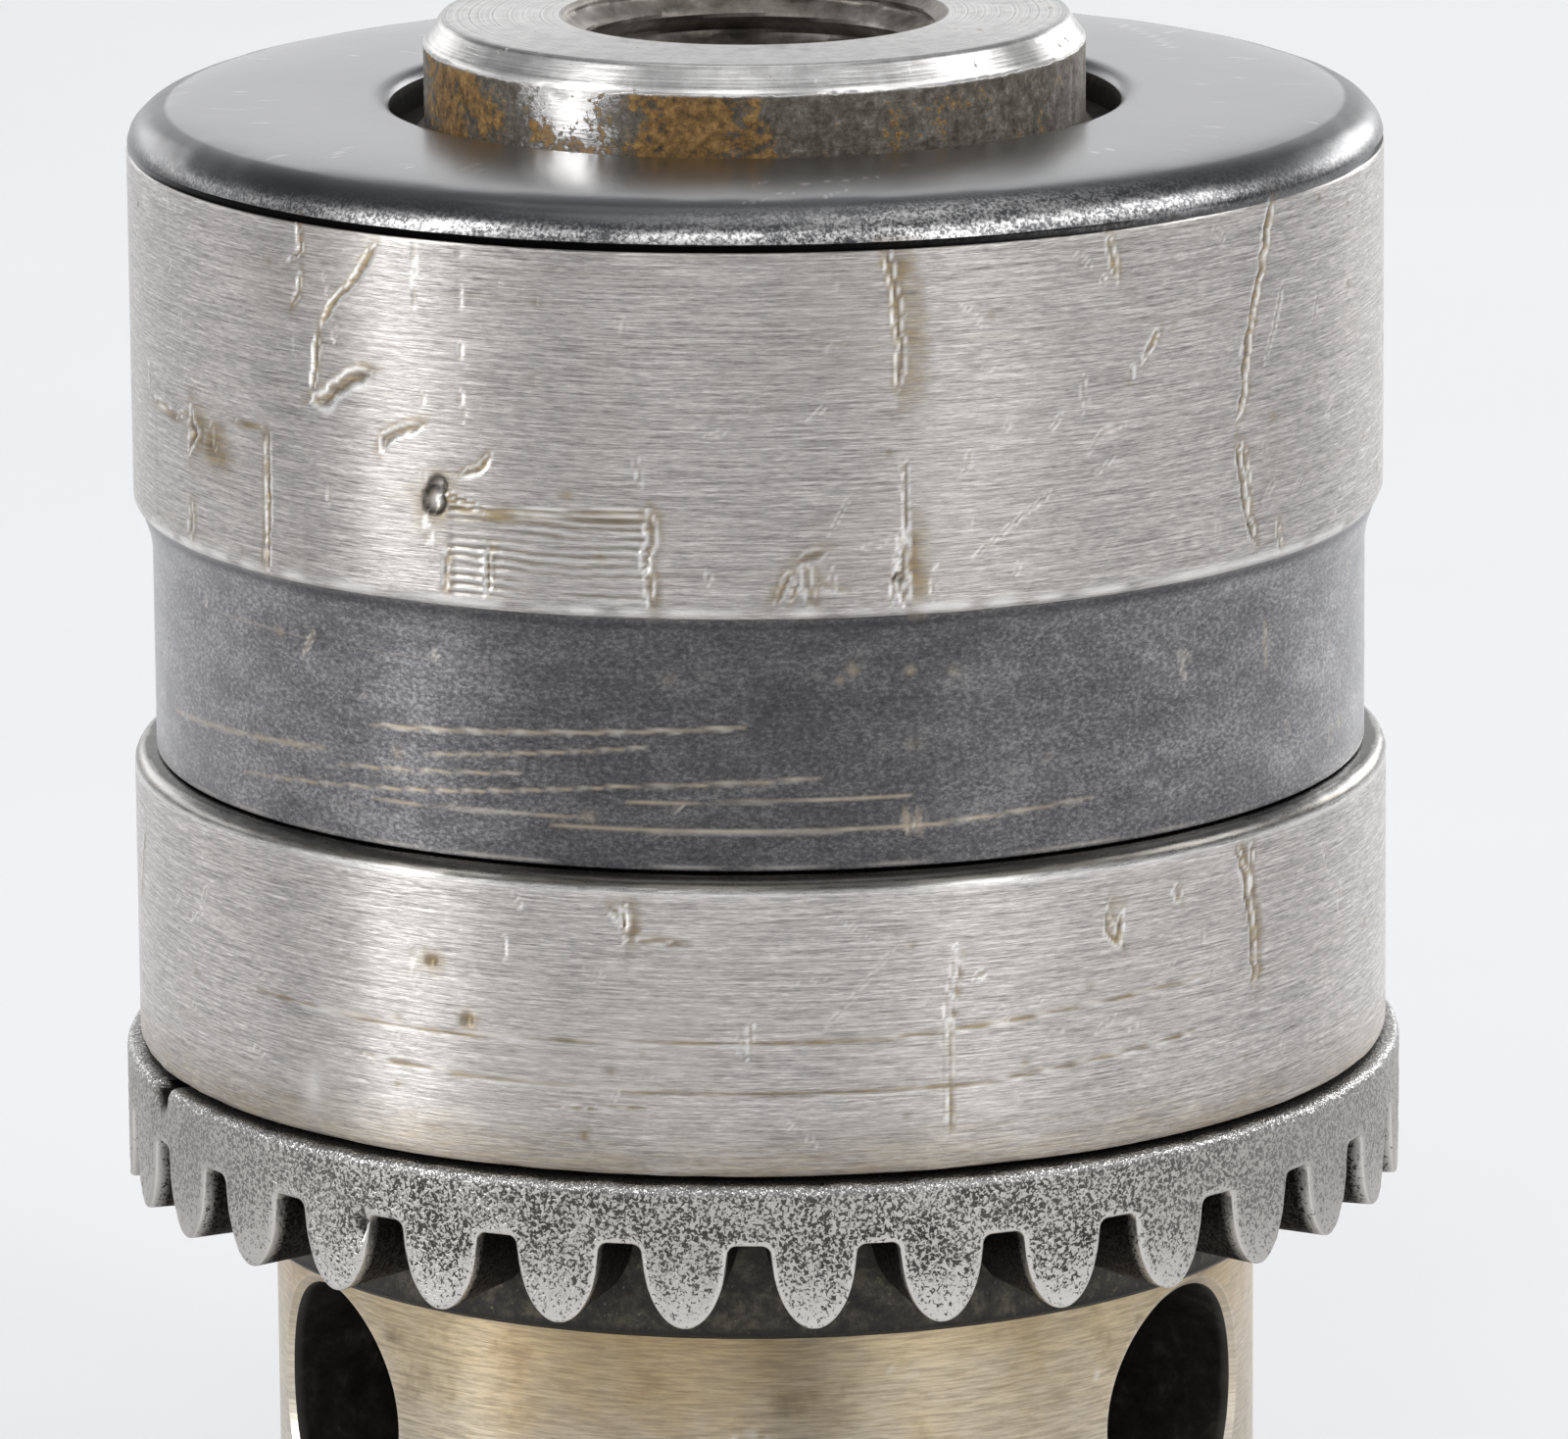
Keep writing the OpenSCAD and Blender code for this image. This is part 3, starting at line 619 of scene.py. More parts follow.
UPPER_CUTS = [
    Cut([(13.3, 57.6), (14.2, 56.2), (14.6, 55.0), (14.9, 54.0), (14.7, 52.7)], 0.11, 0.12, 1.0),
    Cut([(15.1, 50.6), (15.3, 49.4), (15.1, 47.5), (14.8, 46.4), (15.2, 45.4)], 0.10, 0.11, 0.0),
    Cut([(15.0, 48.3), (14.3, 47.0), (13.9, 45.6)], 0.09, 0.07, 0.0),
    Cut([(15.4, 48.2), (15.5, 46.9), (15.4, 45.6)], 0.05, 0.06, 0.8),
    Cut([(54.9, 57.4), (53.9, 55.8), (52.6, 54.4), (51.4, 52.8), (50.8, 51.2), (50.0, 50.3)],
        0.14, 0.13, 0.25),
    Cut([(49.9, 49.6), (50.6, 48.6), (51.4, 47.0), (52.6, 46.1)], 0.12, 0.14, 0.3),
    Cut([(50.7, 49.5), (51.5, 48.4), (52.0, 47.3)], 0.09, 0.10, 0.2),
    Cut([(56.9, 54.5), (55.6, 53.2), (53.9, 51.9)], 0.08, 0.05),
    Cut([(63.1, 53.8), (62.3, 52.8)], 0.08, 0.06),
    Cut([(40.2, 53.8), (38.5, 52.8)], 0.11, 0.09, 0.2),
    Cut([(37.4, 52.8), (37.2, 52.1)], 0.07, 0.06),
    Cut([(29.5, 49.1), (25.6, 48.2), (21.0, 47.0)], 0.06, 0.04),
    Cut([(30.0, 51.6), (28.6, 50.8)], 0.06, 0.05),
    Cut([(36.6, 50.9), (34.0, 50.7), (32.4, 50.0)], 0.08, 0.05),
    Cut([(34.4, 57.2), (35.2, 56.4), (35.7, 55.5)], 0.10, 0.08, 0.25),
    Cut([(33.9, 55.8), (34.7, 55.5)], 0.07, 0.06),
    Cut([(55.9, 46.6), (56.6, 45.4)], 0.11, 0.10, 0.2),
    Cut([(18.0, 47.1), (17.6, 45.7)], 0.07, 0.05),
    Cut([(10.6, 49.5), (8.4, 48.0)], 0.06, 0.04),
    Cut([(-40.8, 51.4), (-39.0, 51.6), (-36.2, 52.4), (-34.0, 52.6)], 0.22, 0.14, 0.35),
    Cut([(-40.0, 53.8), (-40.5, 52.6), (-40.8, 51.7)], 0.10, 0.08, 0.2),
    Cut([(-39.6, 53.9), (-37.4, 55.1), (-36.2, 55.3), (-33.0, 56.9)], 0.11, 0.07, 0.2),
    Cut([(-42.4, 57.6), (-42.0, 56.3), (-43.6, 55.9)], 0.09, 0.07, 0.2),
    Cut([(-42.1, 55.8), (-42.4, 54.9), (-43.5, 54.4)], 0.08, 0.06, 0.2),
    Cut([(-32.9, 50.1), (-32.4, 50.6), (-30.6, 50.9), (-28.3, 51.2)], 0.13, 0.12, 0.3),
    Cut([(-29.3, 56.3), (-28.9, 54.8)], 0.06, 0.05),
    Cut([(-39.4, 55.9), (-37.8, 54.0)], 0.05, 0.03),
    Cut([(-24.6, 56.0), (-24.5, 54.9)], 0.06, 0.04),
    Cut([(-24.5, 52.6), (-24.4, 51.4)], 0.06, 0.05),
    Cut([(-24.6, 54.0), (-24.6, 53.4)], 0.09, 0.06),
    Cut([(-25.2, 49.6), (-22.8, 49.9), (-21.6, 50.6)], 0.10, 0.07, 0.2),
    Cut([(-8.5, 50.8), (-7.8, 49.5)], 0.06, 0.05),
    Cut([(4.6, 47.0), (5.3, 46.3), (4.9, 45.9)], 0.08, 0.05, 0.2),
    Cut([(8.4, 47.2), (9.0, 46.2)], 0.07, 0.05),
    Cut([(5.6, 47.2), (8.4, 47.5)], 0.15, 0.035, 0.3),
    Cut([(3.8, 45.8), (5.4, 47.0)], 0.14, 0.035, 0.3),
    Cut([(6.4, 47.4), (6.7, 45.7)], 0.13, 0.045, 0.35),
    Cut([(7.2, 46.6), (9.8, 46.2)], 0.12, 0.03, 0.2),
    Cut([(-2.4, 47.0), (-1.6, 46.3)], 0.06, 0.04),
    Cut([(-26.3, 47.3), (-26.5, 45.6)], 0.10, 0.08, 0.25),
    Cut([(-22.0, 47.6), (-22.4, 45.7)], 0.09, 0.08, 0.25),
    Cut([(-7.3, 48.9), (-7.0, 47.9), (-7.7, 47.4), (-7.2, 46.6), (-7.4, 45.6)], 0.12, 0.10, 0.35),
    Cut([(-27.0, 49.2), (-22.5, 48.6), (-15.0, 48.7), (-7.2, 48.8)], 0.08, 0.10, -0.5),
    Cut([(-46.8, 50.2), (-46.9, 47.8), (-47.3, 45.5)], 0.11, 0.10, -0.3),
    Cut([(-60.0, 50.2), (-59.6, 49.3), (-60.3, 48.6)], 0.16, 0.12, 0.5),
    Cut([(-60.2, 47.0), (-60.4, 45.7)], 0.12, 0.09, 0.3),
    Cut([(-69.5, 49.9), (-63.0, 49.7), (-60.5, 50.0)], 0.06, 0.05, -0.3),
    Cut([(-52.0, 50.2), (-47.0, 50.3)], 0.05, 0.03, -0.2),
    Cut([(-39.0, 48.9), (-38.9, 48.1)], 0.05, 0.04),
    Cut([(-71.0, 50.9), (-70.2, 49.9)], 0.10, 0.06),
    Cut([(118, 57.0), (119, 53.5), (118, 50.0)], 0.13, 0.12, 0.6),
    Cut([(150, 54.2), (156, 55.1)], 0.16, 0.12, 0.3),
    Cut([(196, 49.0), (204, 49.3), (210, 48.8)], 0.10, 0.08, 0.3),
    Cut([(232, 56.5), (230, 52.0)], 0.11, 0.10, 0.4),
    Cut([(262, 47.2), (268, 50.4)], 0.09, 0.07, 0.2),
]
UPPER_PITS = [
    Pit((-27.4, 48.75), 0.46, 0.30, 0.9),
    Pit((-26.9, 49.25), 0.30, 0.22, 0.6),
    Pit((-58.6, 49.45), 0.42, 0.12, 1.0),
    Pit((14.5, 46.6), 0.16, 0.20, 0.8),
    Pit((-55.6, 49.2), 0.42, 0.06, 1.0),
    Pit((-54.0, 48.9), 0.30, 0.05, 0.8),
    Pit((-17.6, 52.9), 0.12, 0.05, 0.3),
    Pit((-45.0, 51.6), 0.12, 0.05, 0.2),
    Pit((34.2, 55.7), 0.13, 0.06, 0.4),
    Pit((135, 50.1), 0.30, 0.12, 0.6),
    Pit((215, 53.3), 0.25, 0.10, 0.5),
]
LOWER_CUTS = [
    Cut([(-11.2, 35.9), (-10.2, 35.7), (-9.6, 35.1)], 0.17, 0.14, 0.3),
    Cut([(-10.0, 36.3), (-9.7, 35.2), (-9.8, 34.7)], 0.10, 0.12, 0.5),
    Cut([(-9.2, 34.9), (-6.5, 34.8), (-4.4, 34.7)], 0.06, 0.04, 0.2),
    Cut([(-20.8, 34.9), (-20.9, 33.8)], 0.06, 0.05),
    Cut([(1.1, 32.3), (1.3, 31.7), (1.0, 31.0)], 0.10, 0.08),
    Cut([(19.5, 34.6), (18.4, 32.0), (18.3, 30.8)], 0.06, 0.05),
    Cut([(20.1, 34.2), (19.0, 31.8), (18.9, 28.2)], 0.06, 0.05, 0.1),
    Cut([(18.3, 31.2), (18.4, 28.4)], 0.05, 0.04),
    Cut([(21.0, 33.3), (22.4, 33.5)], 0.12, 0.08),
    Cut([(34.4, 35.3), (34.2, 34.3), (35.2, 33.9), (36.0, 34.9)], 0.13, 0.12, 0.5),
    Cut([(41.8, 35.5), (42.2, 34.8)], 0.12, 0.08, 0.3),
    Cut([(49.3, 36.3), (50.8, 35.0), (51.6, 33.4), (52.0, 31.3)], 0.12, 0.12, 0.5),
    Cut([(51.6, 36.3), (51.3, 34.4)], 0.08, 0.07, 0.2),
    Cut([(14.6, 34.8), (10.5, 33.1), (7.4, 31.8)], 0.05, 0.03),
    Cut([(-50.0, 31.4), (-29.0, 31.25), (-8.0, 31.45), (13.0, 31.5), (30, 31.9), (46, 32.2)],
        0.05, 0.04, 0.08),
    Cut([(-36.0, 30.1), (-24.0, 29.9), (0.0, 29.8), (22.0, 29.8), (44, 30.4)], 0.05, 0.04, 0.08),
    Cut([(-17.6, 29.1), (-8.0, 29.3)], 0.03, 0.03, 0.05),
    Cut([(-20.0, 36.2), (-19.2, 35.5)], 0.07, 0.05),
    Cut([(-30.5, 34.2), (-29.6, 32.4)], 0.05, 0.03),
    Cut([(28.6, 31.3), (30.0, 31.2)], 0.05, 0.03),
    Cut([(9.0, 35.6), (12.0, 34.7)], 0.05, 0.03),
    Cut([(4.4, 28.9), (5.2, 28.4)], 0.06, 0.04),
    Cut([(105, 35.8), (109, 31.0)], 0.13, 0.12, 0.5),
    Cut([(165, 33.0), (171, 34.4)], 0.10, 0.08, 0.3),
    Cut([(220, 29.6), (221, 34.0)], 0.11, 0.10, 0.4),
    Cut([(285, 35.0), (282, 32.5)], 0.12, 0.10, 0.3),
]
LOWER_PITS = [
    Pit((-28.2, 33.6), 0.20, 0.09, 0.9),
    Pit((-24.6, 31.8), 0.19, 0.09, 0.9),
    Pit((-13.6, 28.3), 0.16, 0.06, 0.8),
    Pit((-8.4, 31.1), 0.08, 0.04, 0.3),
    Pit((-2.6, 29.9), 0.09, 0.04, 0.3),
    Pit((14.8, 28.9), 0.09, 0.04, 0.5),
    Pit((138, 30.2), 0.22, 0.09, 0.8),
    Pit((196, 31.8), 0.18, 0.08, 0.8),
    Pit((255, 33.1), 0.20, 0.08, 0.7),
]
DARK_CUTS = [
    Cut([(-36.0, 40.9), (-18.0, 41.3), (1.0, 41.7)], 0.045, 0.03, 0.06),
    Cut([(-30.0, 40.2), (-8.0, 41.0)], 0.035, 0.02, 0.05),
    Cut([(-54.0, 38.3), (-30.0, 39.0), (-10.0, 39.7), (8.0, 40.0)], 0.035, 0.02, 0.05),
    Cut([(-40.0, 39.4), (-20.0, 39.9)], 0.03, 0.02, 0.05),
    Cut([(-17.0, 38.3), (4.0, 38.25), (18.0, 38.3), (34.0, 38.6)], 0.04, 0.02, 0.06),
    Cut([(-36.0, 38.5), (-14.0, 38.6)], 0.03, 0.02, 0.05),
    Cut([(-10.0, 39.2), (16.0, 39.3)], 0.03, 0.02, 0.05),
    Cut([(15.2, 38.8), (15.6, 38.1)], 0.07, 0.03, 0.15),
    Cut([(16.4, 38.8), (16.5, 38.1)], 0.07, 0.03, 0.15),
    Cut([(-44.4, 42.8), (-43.0, 43.6)], 0.08, 0.05, 0.1),
    Cut([(56.4, 43.2), (56.6, 41.6)], 0.06, 0.03, 0.05),
    Cut([(130, 39.5), (170, 40.1)], 0.06, 0.02, 0.12),
    Cut([(200, 41.0), (245, 40.6)], 0.05, 0.02, 0.12),
    Cut([(290, 39.2), (318, 39.8)], 0.05, 0.02, 0.10),
]
DARK_PITS = [
    Pit((10.7, 43.5), 0.10, 0.03, 0.6),
    Pit((9.6, 43.2), 0.08, 0.03, 0.5),
    Pit((16.0, 43.4), 0.08, 0.03, 0.6),
    Pit((-33.0, 40.1), 0.10, 0.03, 0.4),
]
FACE_CUTS = [
    Cut([(6.4, 17.2), (11.0, 16.9), (16.4, 16.5)], 0.05, 0.05),
    Cut([(2.7, 18.3), (6.5, 18.6)], 0.05, 0.05),
    Cut([(-51.0, 16.5), (-47.2, 17.9)], 0.05, 0.04),
    Cut([(-40.0, 16.9), (-36.9, 17.5)], 0.05, 0.05),
    Cut([(41.3, 16.5), (48.8, 16.1)], 0.05, 0.05),
    Cut([(120.0, 16.0), (140.0, 18.2)], 0.06, 0.05),
    Cut([(200.0, 17.5), (214.0, 17.2)], 0.06, 0.05),
]
NOSE_PITS = [Pit((4.4, 18.2), 0.20, 0.08, 0.5), Pit((-46.0, 19.0), 0.15, 0.05, 0.5)]
NOSE_CUTS = [
    Cut([(-30.0, 9.6), (-6.0, 9.9)], 0.06, 0.03, 0.1),
    Cut([(20.0, 12.4), (25.0, 9.2)], 0.09, 0.06, 0.2),
    Cut([(175.0, 18.0), (181.0, 12.0)], 0.10, 0.08, 0.3),
]


def scatter_marks(low, high, count, seed):
    """Small dings and short scratches all round a band."""
    rng = np.random.default_rng(seed)
    cuts, pits = [], []
    for _ in range(count):
        azimuth, height = rng.uniform(-180, 180), rng.uniform(low + 0.4, high - 0.4)
        lean, length = rng.normal(0, 0.9), rng.uniform(0.3, 1.5)
        reach = math.degrees(length * math.sin(lean) / 21)
        end = (azimuth + reach, min(high, max(low, height + length * math.cos(lean))))
        cuts.append(Cut([(azimuth, height), end], rng.uniform(0.045, 0.08), rng.uniform(0.015, 0.045)))
    for _ in range(count // 2):
        at = (rng.uniform(-180, 180), rng.uniform(low + 0.3, high - 0.3))
        pits.append(Pit(at, rng.uniform(0.06, 0.13), rng.uniform(0.02, 0.05), rng.uniform(0, 0.6)))
    return cuts, pits


def turn_distance(azimuth, centre):
    """Degrees from centre to azimuth, from -180 to 180."""
    return (azimuth - centre + 180) % 360 - 180


def facing(azimuth, centre, width):
    """A smooth bump of height 1 round the axis, whose top is at the centre."""
    return bell(turn_distance(azimuth, centre), 0, width)


def beyond(azimuth, centre, start, end):
    """0 within start degrees of the centre, and 1 from end degrees on."""
    return np.clip((np.abs(turn_distance(azimuth, centre)) - start) / (end - start), 0, 1)


def along(u, v, path):
    """Distance to a path, the place along it, the side (+1 on its right going down) and its length."""
    best = np.full(u.shape, 1e9)
    place, side = np.zeros(u.shape), np.ones(u.shape)
    start = 0.0
    for (u0, v0), (u1, v1) in zip(path, path[1:]):
        du, dv = u1 - u0, v1 - v0
        length = math.hypot(du, dv)
        t = np.clip(((u - u0) * du + (v - v0) * dv) / length**2, 0, 1)
        gap = np.hypot(u - u0 - t * du, v - v0 - t * dv)
        nearer = gap < best
        best = np.where(nearer, gap, best)
        place = np.where(nearer, start + t * length, place)
        side = np.where(nearer, np.sign((u - u0) * -dv + (v - v0) * du), side)
        start += length
    return best, place, side, start


class Wear:
    """What use has done to a surface: how far it moves outwards, and where it is stained, sooty or bare."""

    def __init__(self, azimuth, height, radius):
        self.azimuth, self.height, self.radius = azimuth, height, radius
        self.move, self.stain, self.soot, self.bare, self.grip = (np.zeros(azimuth.shape) for _ in range(5))

    def near(self, centre, low, high, reach):
        """The points near a mark, and their place on the unrolled surface about its centre."""
        u = np.radians(turn_distance(self.azimuth, centre)) * self.radius
        pick = (np.abs(u) < reach) & (self.height > low) & (self.height < high)
        return pick, u[pick], self.height[pick]

    def cut(self, cut, seed):
        """A ragged groove that tapers at its ends, with a burr on both sides and stain beside it."""
        azimuths = [a for a, _ in cut.path]
        heights = [h for _, h in cut.path]
        centre = (min(azimuths) + max(azimuths)) / 2
        spread = math.radians(max(azimuths) - min(azimuths)) / 2 * self.radius
        margin = 4 * cut.half + 1.6 * abs(cut.stain) + 0.2
        pick, u, v = self.near(centre, min(heights) - margin, max(heights) + margin, spread + margin)
        if not len(u):
            return
        path = [(math.radians(a - centre) * self.radius, h) for a, h in cut.path]
        shake = 1.1 * cut.half
        jag_u = (wobble(u, v, 0.42, seed) - 0.5) * shake + (wobble(u, v, 0.16, seed + 1) - 0.5) * shake * 0.7
        gap, place, side, length = along(u + jag_u, v, path)
        taper = np.clip(np.minimum(place, length - place) / min(0.6, 0.4 * length) + 0.25, 0, 1)
        width = cut.half * taper * (0.75 + 0.5 * wobble(place, v, 0.7, seed + 2))
        t = gap / width
        floor = -0.6 * cut.depth * taper * np.clip(1 - t**2, 0, 1) ** 0.8
        burr = 0.30 * cut.depth * taper * bell(t, 1.45, 0.5) * (0.4 + wobble(place, v, 0.5, seed + 3))
        self.move[pick] += floor + burr
        self.bare[pick] = np.maximum(self.bare[pick], min(1, cut.depth / 0.06) * 0.9 * bell(t, 1.3, 0.4))
        inside = np.clip(1.2 - t, 0, 1) * taper
        self.soot[pick] = np.maximum(self.soot[pick], np.clip(inside * (cut.depth - 0.11) * 5, 0, 0.5))
        self.stain[pick] = np.maximum(self.stain[pick], inside * min(0.75, 6 * cut.depth))
        if cut.stain:
            reach = abs(cut.stain)
            beside = np.where(side * cut.stain > 0, gap, gap * 3.5)
            patchy = 0.45 + 0.9 * wobble(u, v, 0.55, seed + 4)
            brown = np.clip(patchy * (1 - (beside / (reach + cut.half)) ** 2), 0, 1)
            self.stain[pick] = np.maximum(self.stain[pick], 0.85 * brown * taper**0.5)

    def pit(self, pit, seed):
        """A dent with a low rim, stained brown, and black and bright inside if it is deep."""
        (centre, height), r = pit.at, pit.radius
        pick, u, v = self.near(centre, height - 5 * r, height + 5 * r, 5 * r)
        if not len(u):
            return
        gap = np.hypot(u * 0.9, v - height) / (r * (0.7 + 0.6 * wobble(u, v, 1.2 * r, seed)))
        self.move[pick] += pit.depth * (-np.clip(1 - gap**2, 0, 1) + 0.25 * bell(gap, 1.3, 0.35))
        deep = np.clip((pit.depth - 0.09) * 6, 0, 1)
        self.soot[pick] = np.maximum(self.soot[pick], deep * bell(gap, 0.85, 0.30))
        self.bare[pick] = np.maximum(self.bare[pick], deep * (r > 0.25) * bell(gap, 0.0, 0.45))
        self.stain[pick] = np.maximum(self.stain[pick], pit.stain * bell(gap, 0, 1.7))

    def grip_print(self, left, right, low, high, depth, seed):
        """The print of serrated pliers: a patch of level ridges, which the material draws."""
        centre, half = (left + right) / 2, math.radians(right - left) / 2 * self.radius
        pick, u, v = self.near(centre, low, high, half)
        if not len(u):
            return
        inside = np.clip((half - np.abs(u)) / 0.15, 0, 1)
        inside *= np.clip(np.minimum(v - low, high - v) / 0.12, 0, 1)
        patchy = np.clip(wobble(u, v * 4, 1.6, seed) * 1.5 - 0.1, 0, 1)
        self.move[pick] -= inside * depth * (0.4 + 0.6 * patchy)
        self.grip[pick] = np.maximum(self.grip[pick], inside * patchy)

    def marks(self, cuts, pits, seed):
        """All of a surface's cuts and pits, each with its own seed."""
        for i, cut in enumerate(cuts):
            self.cut(cut, seed + 10 * i)
        for i, pit in enumerate(pits):
            self.pit(pit, seed + 5000 + 10 * i)


def upper_wear(azimuth, height):
    """The bright band, with two grip prints, of which the one at the far left is faint."""
    wear = Wear(azimuth, height, BAND_R)
    wear.grip_print(-26, -7.2, 45.7, 48.8, 0.03, 11)
    wear.grip_print(-69, -47, 45.8, 50.0, 0.02, 12)
    wear.grip *= np.where(azimuth < -40, 0.15, 1.0)
    wear.marks(UPPER_CUTS, UPPER_PITS, 100)
    wear.marks(*scatter_marks(BAND_Z, BAND_TOP, 110, 21), 20000)
    ragged = wobble(np.radians(azimuth) * BAND_R, height, 0.8, 31, 2 * math.pi * BAND_R)
    low_edge = bell(height, BAND_Z + 0.08, 0.16)
    wear.bare = np.maximum(wear.bare, 0.75 * low_edge * np.clip(ragged * 1.8 - 0.3, 0, 1))
    return wear


def lower_wear(azimuth, height):
    """The sleeve's band, stained along its lower edge."""
    wear = Wear(azimuth, height, SLEEVE_R)
    wear.marks(LOWER_CUTS, LOWER_PITS, 300)
    wear.marks(*scatter_marks(SLEEVE_LOW, SLEEVE_TOP - SLEEVE_EDGE_R, 100, 22), 30000)
    patchy = wobble(np.radians(azimuth) * SLEEVE_R, height, 2.4, 32, 2 * math.pi * SLEEVE_R)
    low = np.clip((SLEEVE_LOW + 2.0 - height) / 2.0, 0, 1)
    wear.stain = np.maximum(wear.stain, 0.55 * low * np.clip(patchy * 1.4 + 0.2, 0, 1))
    smudge = facing(azimuth, -42, 1.1) * bell(height, 28.6, 0.7)
    wear.bare = np.maximum(wear.bare, 0.5 * smudge)
    return wear


def dark_wear(azimuth, height):
    """The recessed band."""
    wear = Wear(azimuth, height, RECESS_R)
    wear.marks(DARK_CUTS, DARK_PITS, 500)
    wear.marks(*scatter_marks(RECESS_Z + 0.3, FLARE_Z, 40, 23), 40000)
    return wear


def face_wear(azimuth, radius):
    """Scratches on the rear face, where the radius takes the place of the height."""
    wear = Wear(azimuth, radius, 17.0)
    wear.marks(FACE_CUTS, [], 900)
    wear.marks(*scatter_marks(13.6, 20.0, 40, 25), 60000)
    return wear


def nose_wear(azimuth, height):
    """The nose, from its cone to the groove."""
    wear = Wear(azimuth, height, NOSE_R)
    wear.marks(NOSE_CUTS, NOSE_PITS, 700)
    wear.marks(*scatter_marks(CONE_Z + 1, GROOVE_Z - 0.5, 60, 24), 50000)
    return wear


# ---------------------------------------------------------------- Mesh building
def line(p, q, step):
    """Points from p up to but not including q, at most step apart."""
    n = max(1, math.ceil(math.dist(p, q) / step))
    return [(p[0] + (q[0] - p[0]) * i / n, p[1] + (q[1] - p[1]) * i / n) for i in range(n)]


def arc(centre, radius, start, end, count):
    """Points of an arc from one angle to another, both ends included."""
    angles = [math.radians(start + (end - start) * i / count) for i in range(count + 1)]
    return [(centre[0] + radius * math.cos(a), centre[1] + radius * math.sin(a)) for a in angles]


def profile(*stretches):
    """Joins stretches of (point, step to the next point), or of whole arcs, into one closed outline."""
    corners = []
    for stretch in stretches:
        corners += [(p, 9.0) for p in stretch] if isinstance(stretch, list) else [stretch]
    points = []
    for (p, step), (q, _) in zip(corners, corners[1:] + corners[:1]):
        points += line(p, q, step)
    return np.array(points)


def outward(points):
    """Unit normals of a closed outline that runs anticlockwise in (radius, height)."""
    along_it = np.roll(points, -1, 0) - np.roll(points, 1, 0)
    normals = np.stack([along_it[:, 1], -along_it[:, 0]], 1)
    return normals / np.linalg.norm(normals, axis=1)[:, None]


def revolve(points, columns):
    """An outline turned round the axis: azimuth, radius, height and the outward normal's two parts."""
    A, R = np.meshgrid(np.linspace(-180, 180, columns, endpoint=False), points[:, 0])
    Z = np.repeat(points[:, 1:], columns, axis=1)
    out, up = outward(points).T[:, :, None]
    return A, R, Z, out, up


def to_xyz(azimuth, radius, height):
    """Millimetres round the spindle axis to a metre-scaled point array."""
    a = np.radians(azimuth)
    return np.stack([radius * np.sin(a), -radius * np.cos(a), height], -1) * MM


def ring_mesh(name, points):
    """A closed mesh from a grid of points, rows along the outline and columns round the axis."""
    rows, columns = points.shape[:2]
    i, j = np.meshgrid(np.arange(rows), np.arange(columns), indexing="ij")
    up, on = (i + 1) % rows, (j + 1) % columns
    quads = np.stack([i * columns + j, i * columns + on, up * columns + on, up * columns + j], -1)
    return raw_mesh(name, points.reshape(-1, 3), quads.reshape(-1, 4))


def raw_mesh(name, points, quads):
    """A mesh from arrays of points and of four-cornered faces."""
    mesh = bpy.data.meshes.new(name)
    mesh.vertices.add(len(points))
    mesh.vertices.foreach_set("co", points.astype(np.float32).ravel())
    mesh.loops.add(quads.size)
    mesh.loops.foreach_set("vertex_index", quads.astype(np.int32).ravel())
    mesh.polygons.add(len(quads))
    mesh.polygons.foreach_set("loop_start", np.arange(0, quads.size, 4, dtype=np.int32))
    mesh.update(calc_edges=True)
    mesh.validate()
    return mesh


def tube_object(name, loops, at):
    """A closed tube through loops of points, with a flat cap at each end, placed by the matrix at."""
    count = len(loops[0])
    points = [p for loop in loops for p in loop]
    faces = [tuple(reversed(range(count))), tuple(range(len(points) - count, len(points)))]
    for k in range(len(loops) - 1):
        for i in range(count):
            a, b = k * count + i, k * count + (i + 1) % count
            faces.append((a, b, b + count, a + count))
    mesh = bpy.data.meshes.new(name)
    mesh.from_pydata([at @ (Vector(p) * MM) for p in points], [], faces)
    return link_object(name, mesh)


def link_object(name, mesh):
    """A new object in the scene."""
    made = bpy.data.objects.new(name, mesh)
    bpy.context.scene.collection.objects.link(made)
    return made


def combine(target, others, operation):
    """Joins or cuts the target with other closed objects, which are then removed."""
    for other in others:
        modifier = target.modifiers.new("solid", "BOOLEAN")
        modifier.object = other
        modifier.operation = operation
        modifier.solver = "MANIFOLD"
    bpy.context.view_layer.update()
    made = bpy.data.meshes.new_from_object(target.evaluated_get(bpy.context.evaluated_depsgraph_get()))
    target.modifiers.clear()
    target.data = made
    for other in others:
        bpy.data.objects.remove(other)


def cylindrical(mesh):
    """Azimuth, radius and height of every vertex, in degrees and millimetres."""
    co = np.empty(len(mesh.vertices) * 3, np.float32)
    mesh.vertices.foreach_get("co", co)
    x, y, z = (co.reshape(-1, 3).astype(float) / MM).T
    return np.degrees(np.arctan2(x, -y)), np.hypot(x, y), z


def face_values(mesh):
    """Azimuth, radius, height and normal of every face."""
    centre, normal = (np.empty(len(mesh.polygons) * 3, np.float32) for _ in range(2))
    mesh.polygons.foreach_get("center", centre)
    mesh.polygons.foreach_get("normal", normal)
    x, y, z = (centre.reshape(-1, 3).astype(float) / MM).T
    return np.degrees(np.arctan2(x, -y)), np.hypot(x, y), z, normal.reshape(-1, 3)


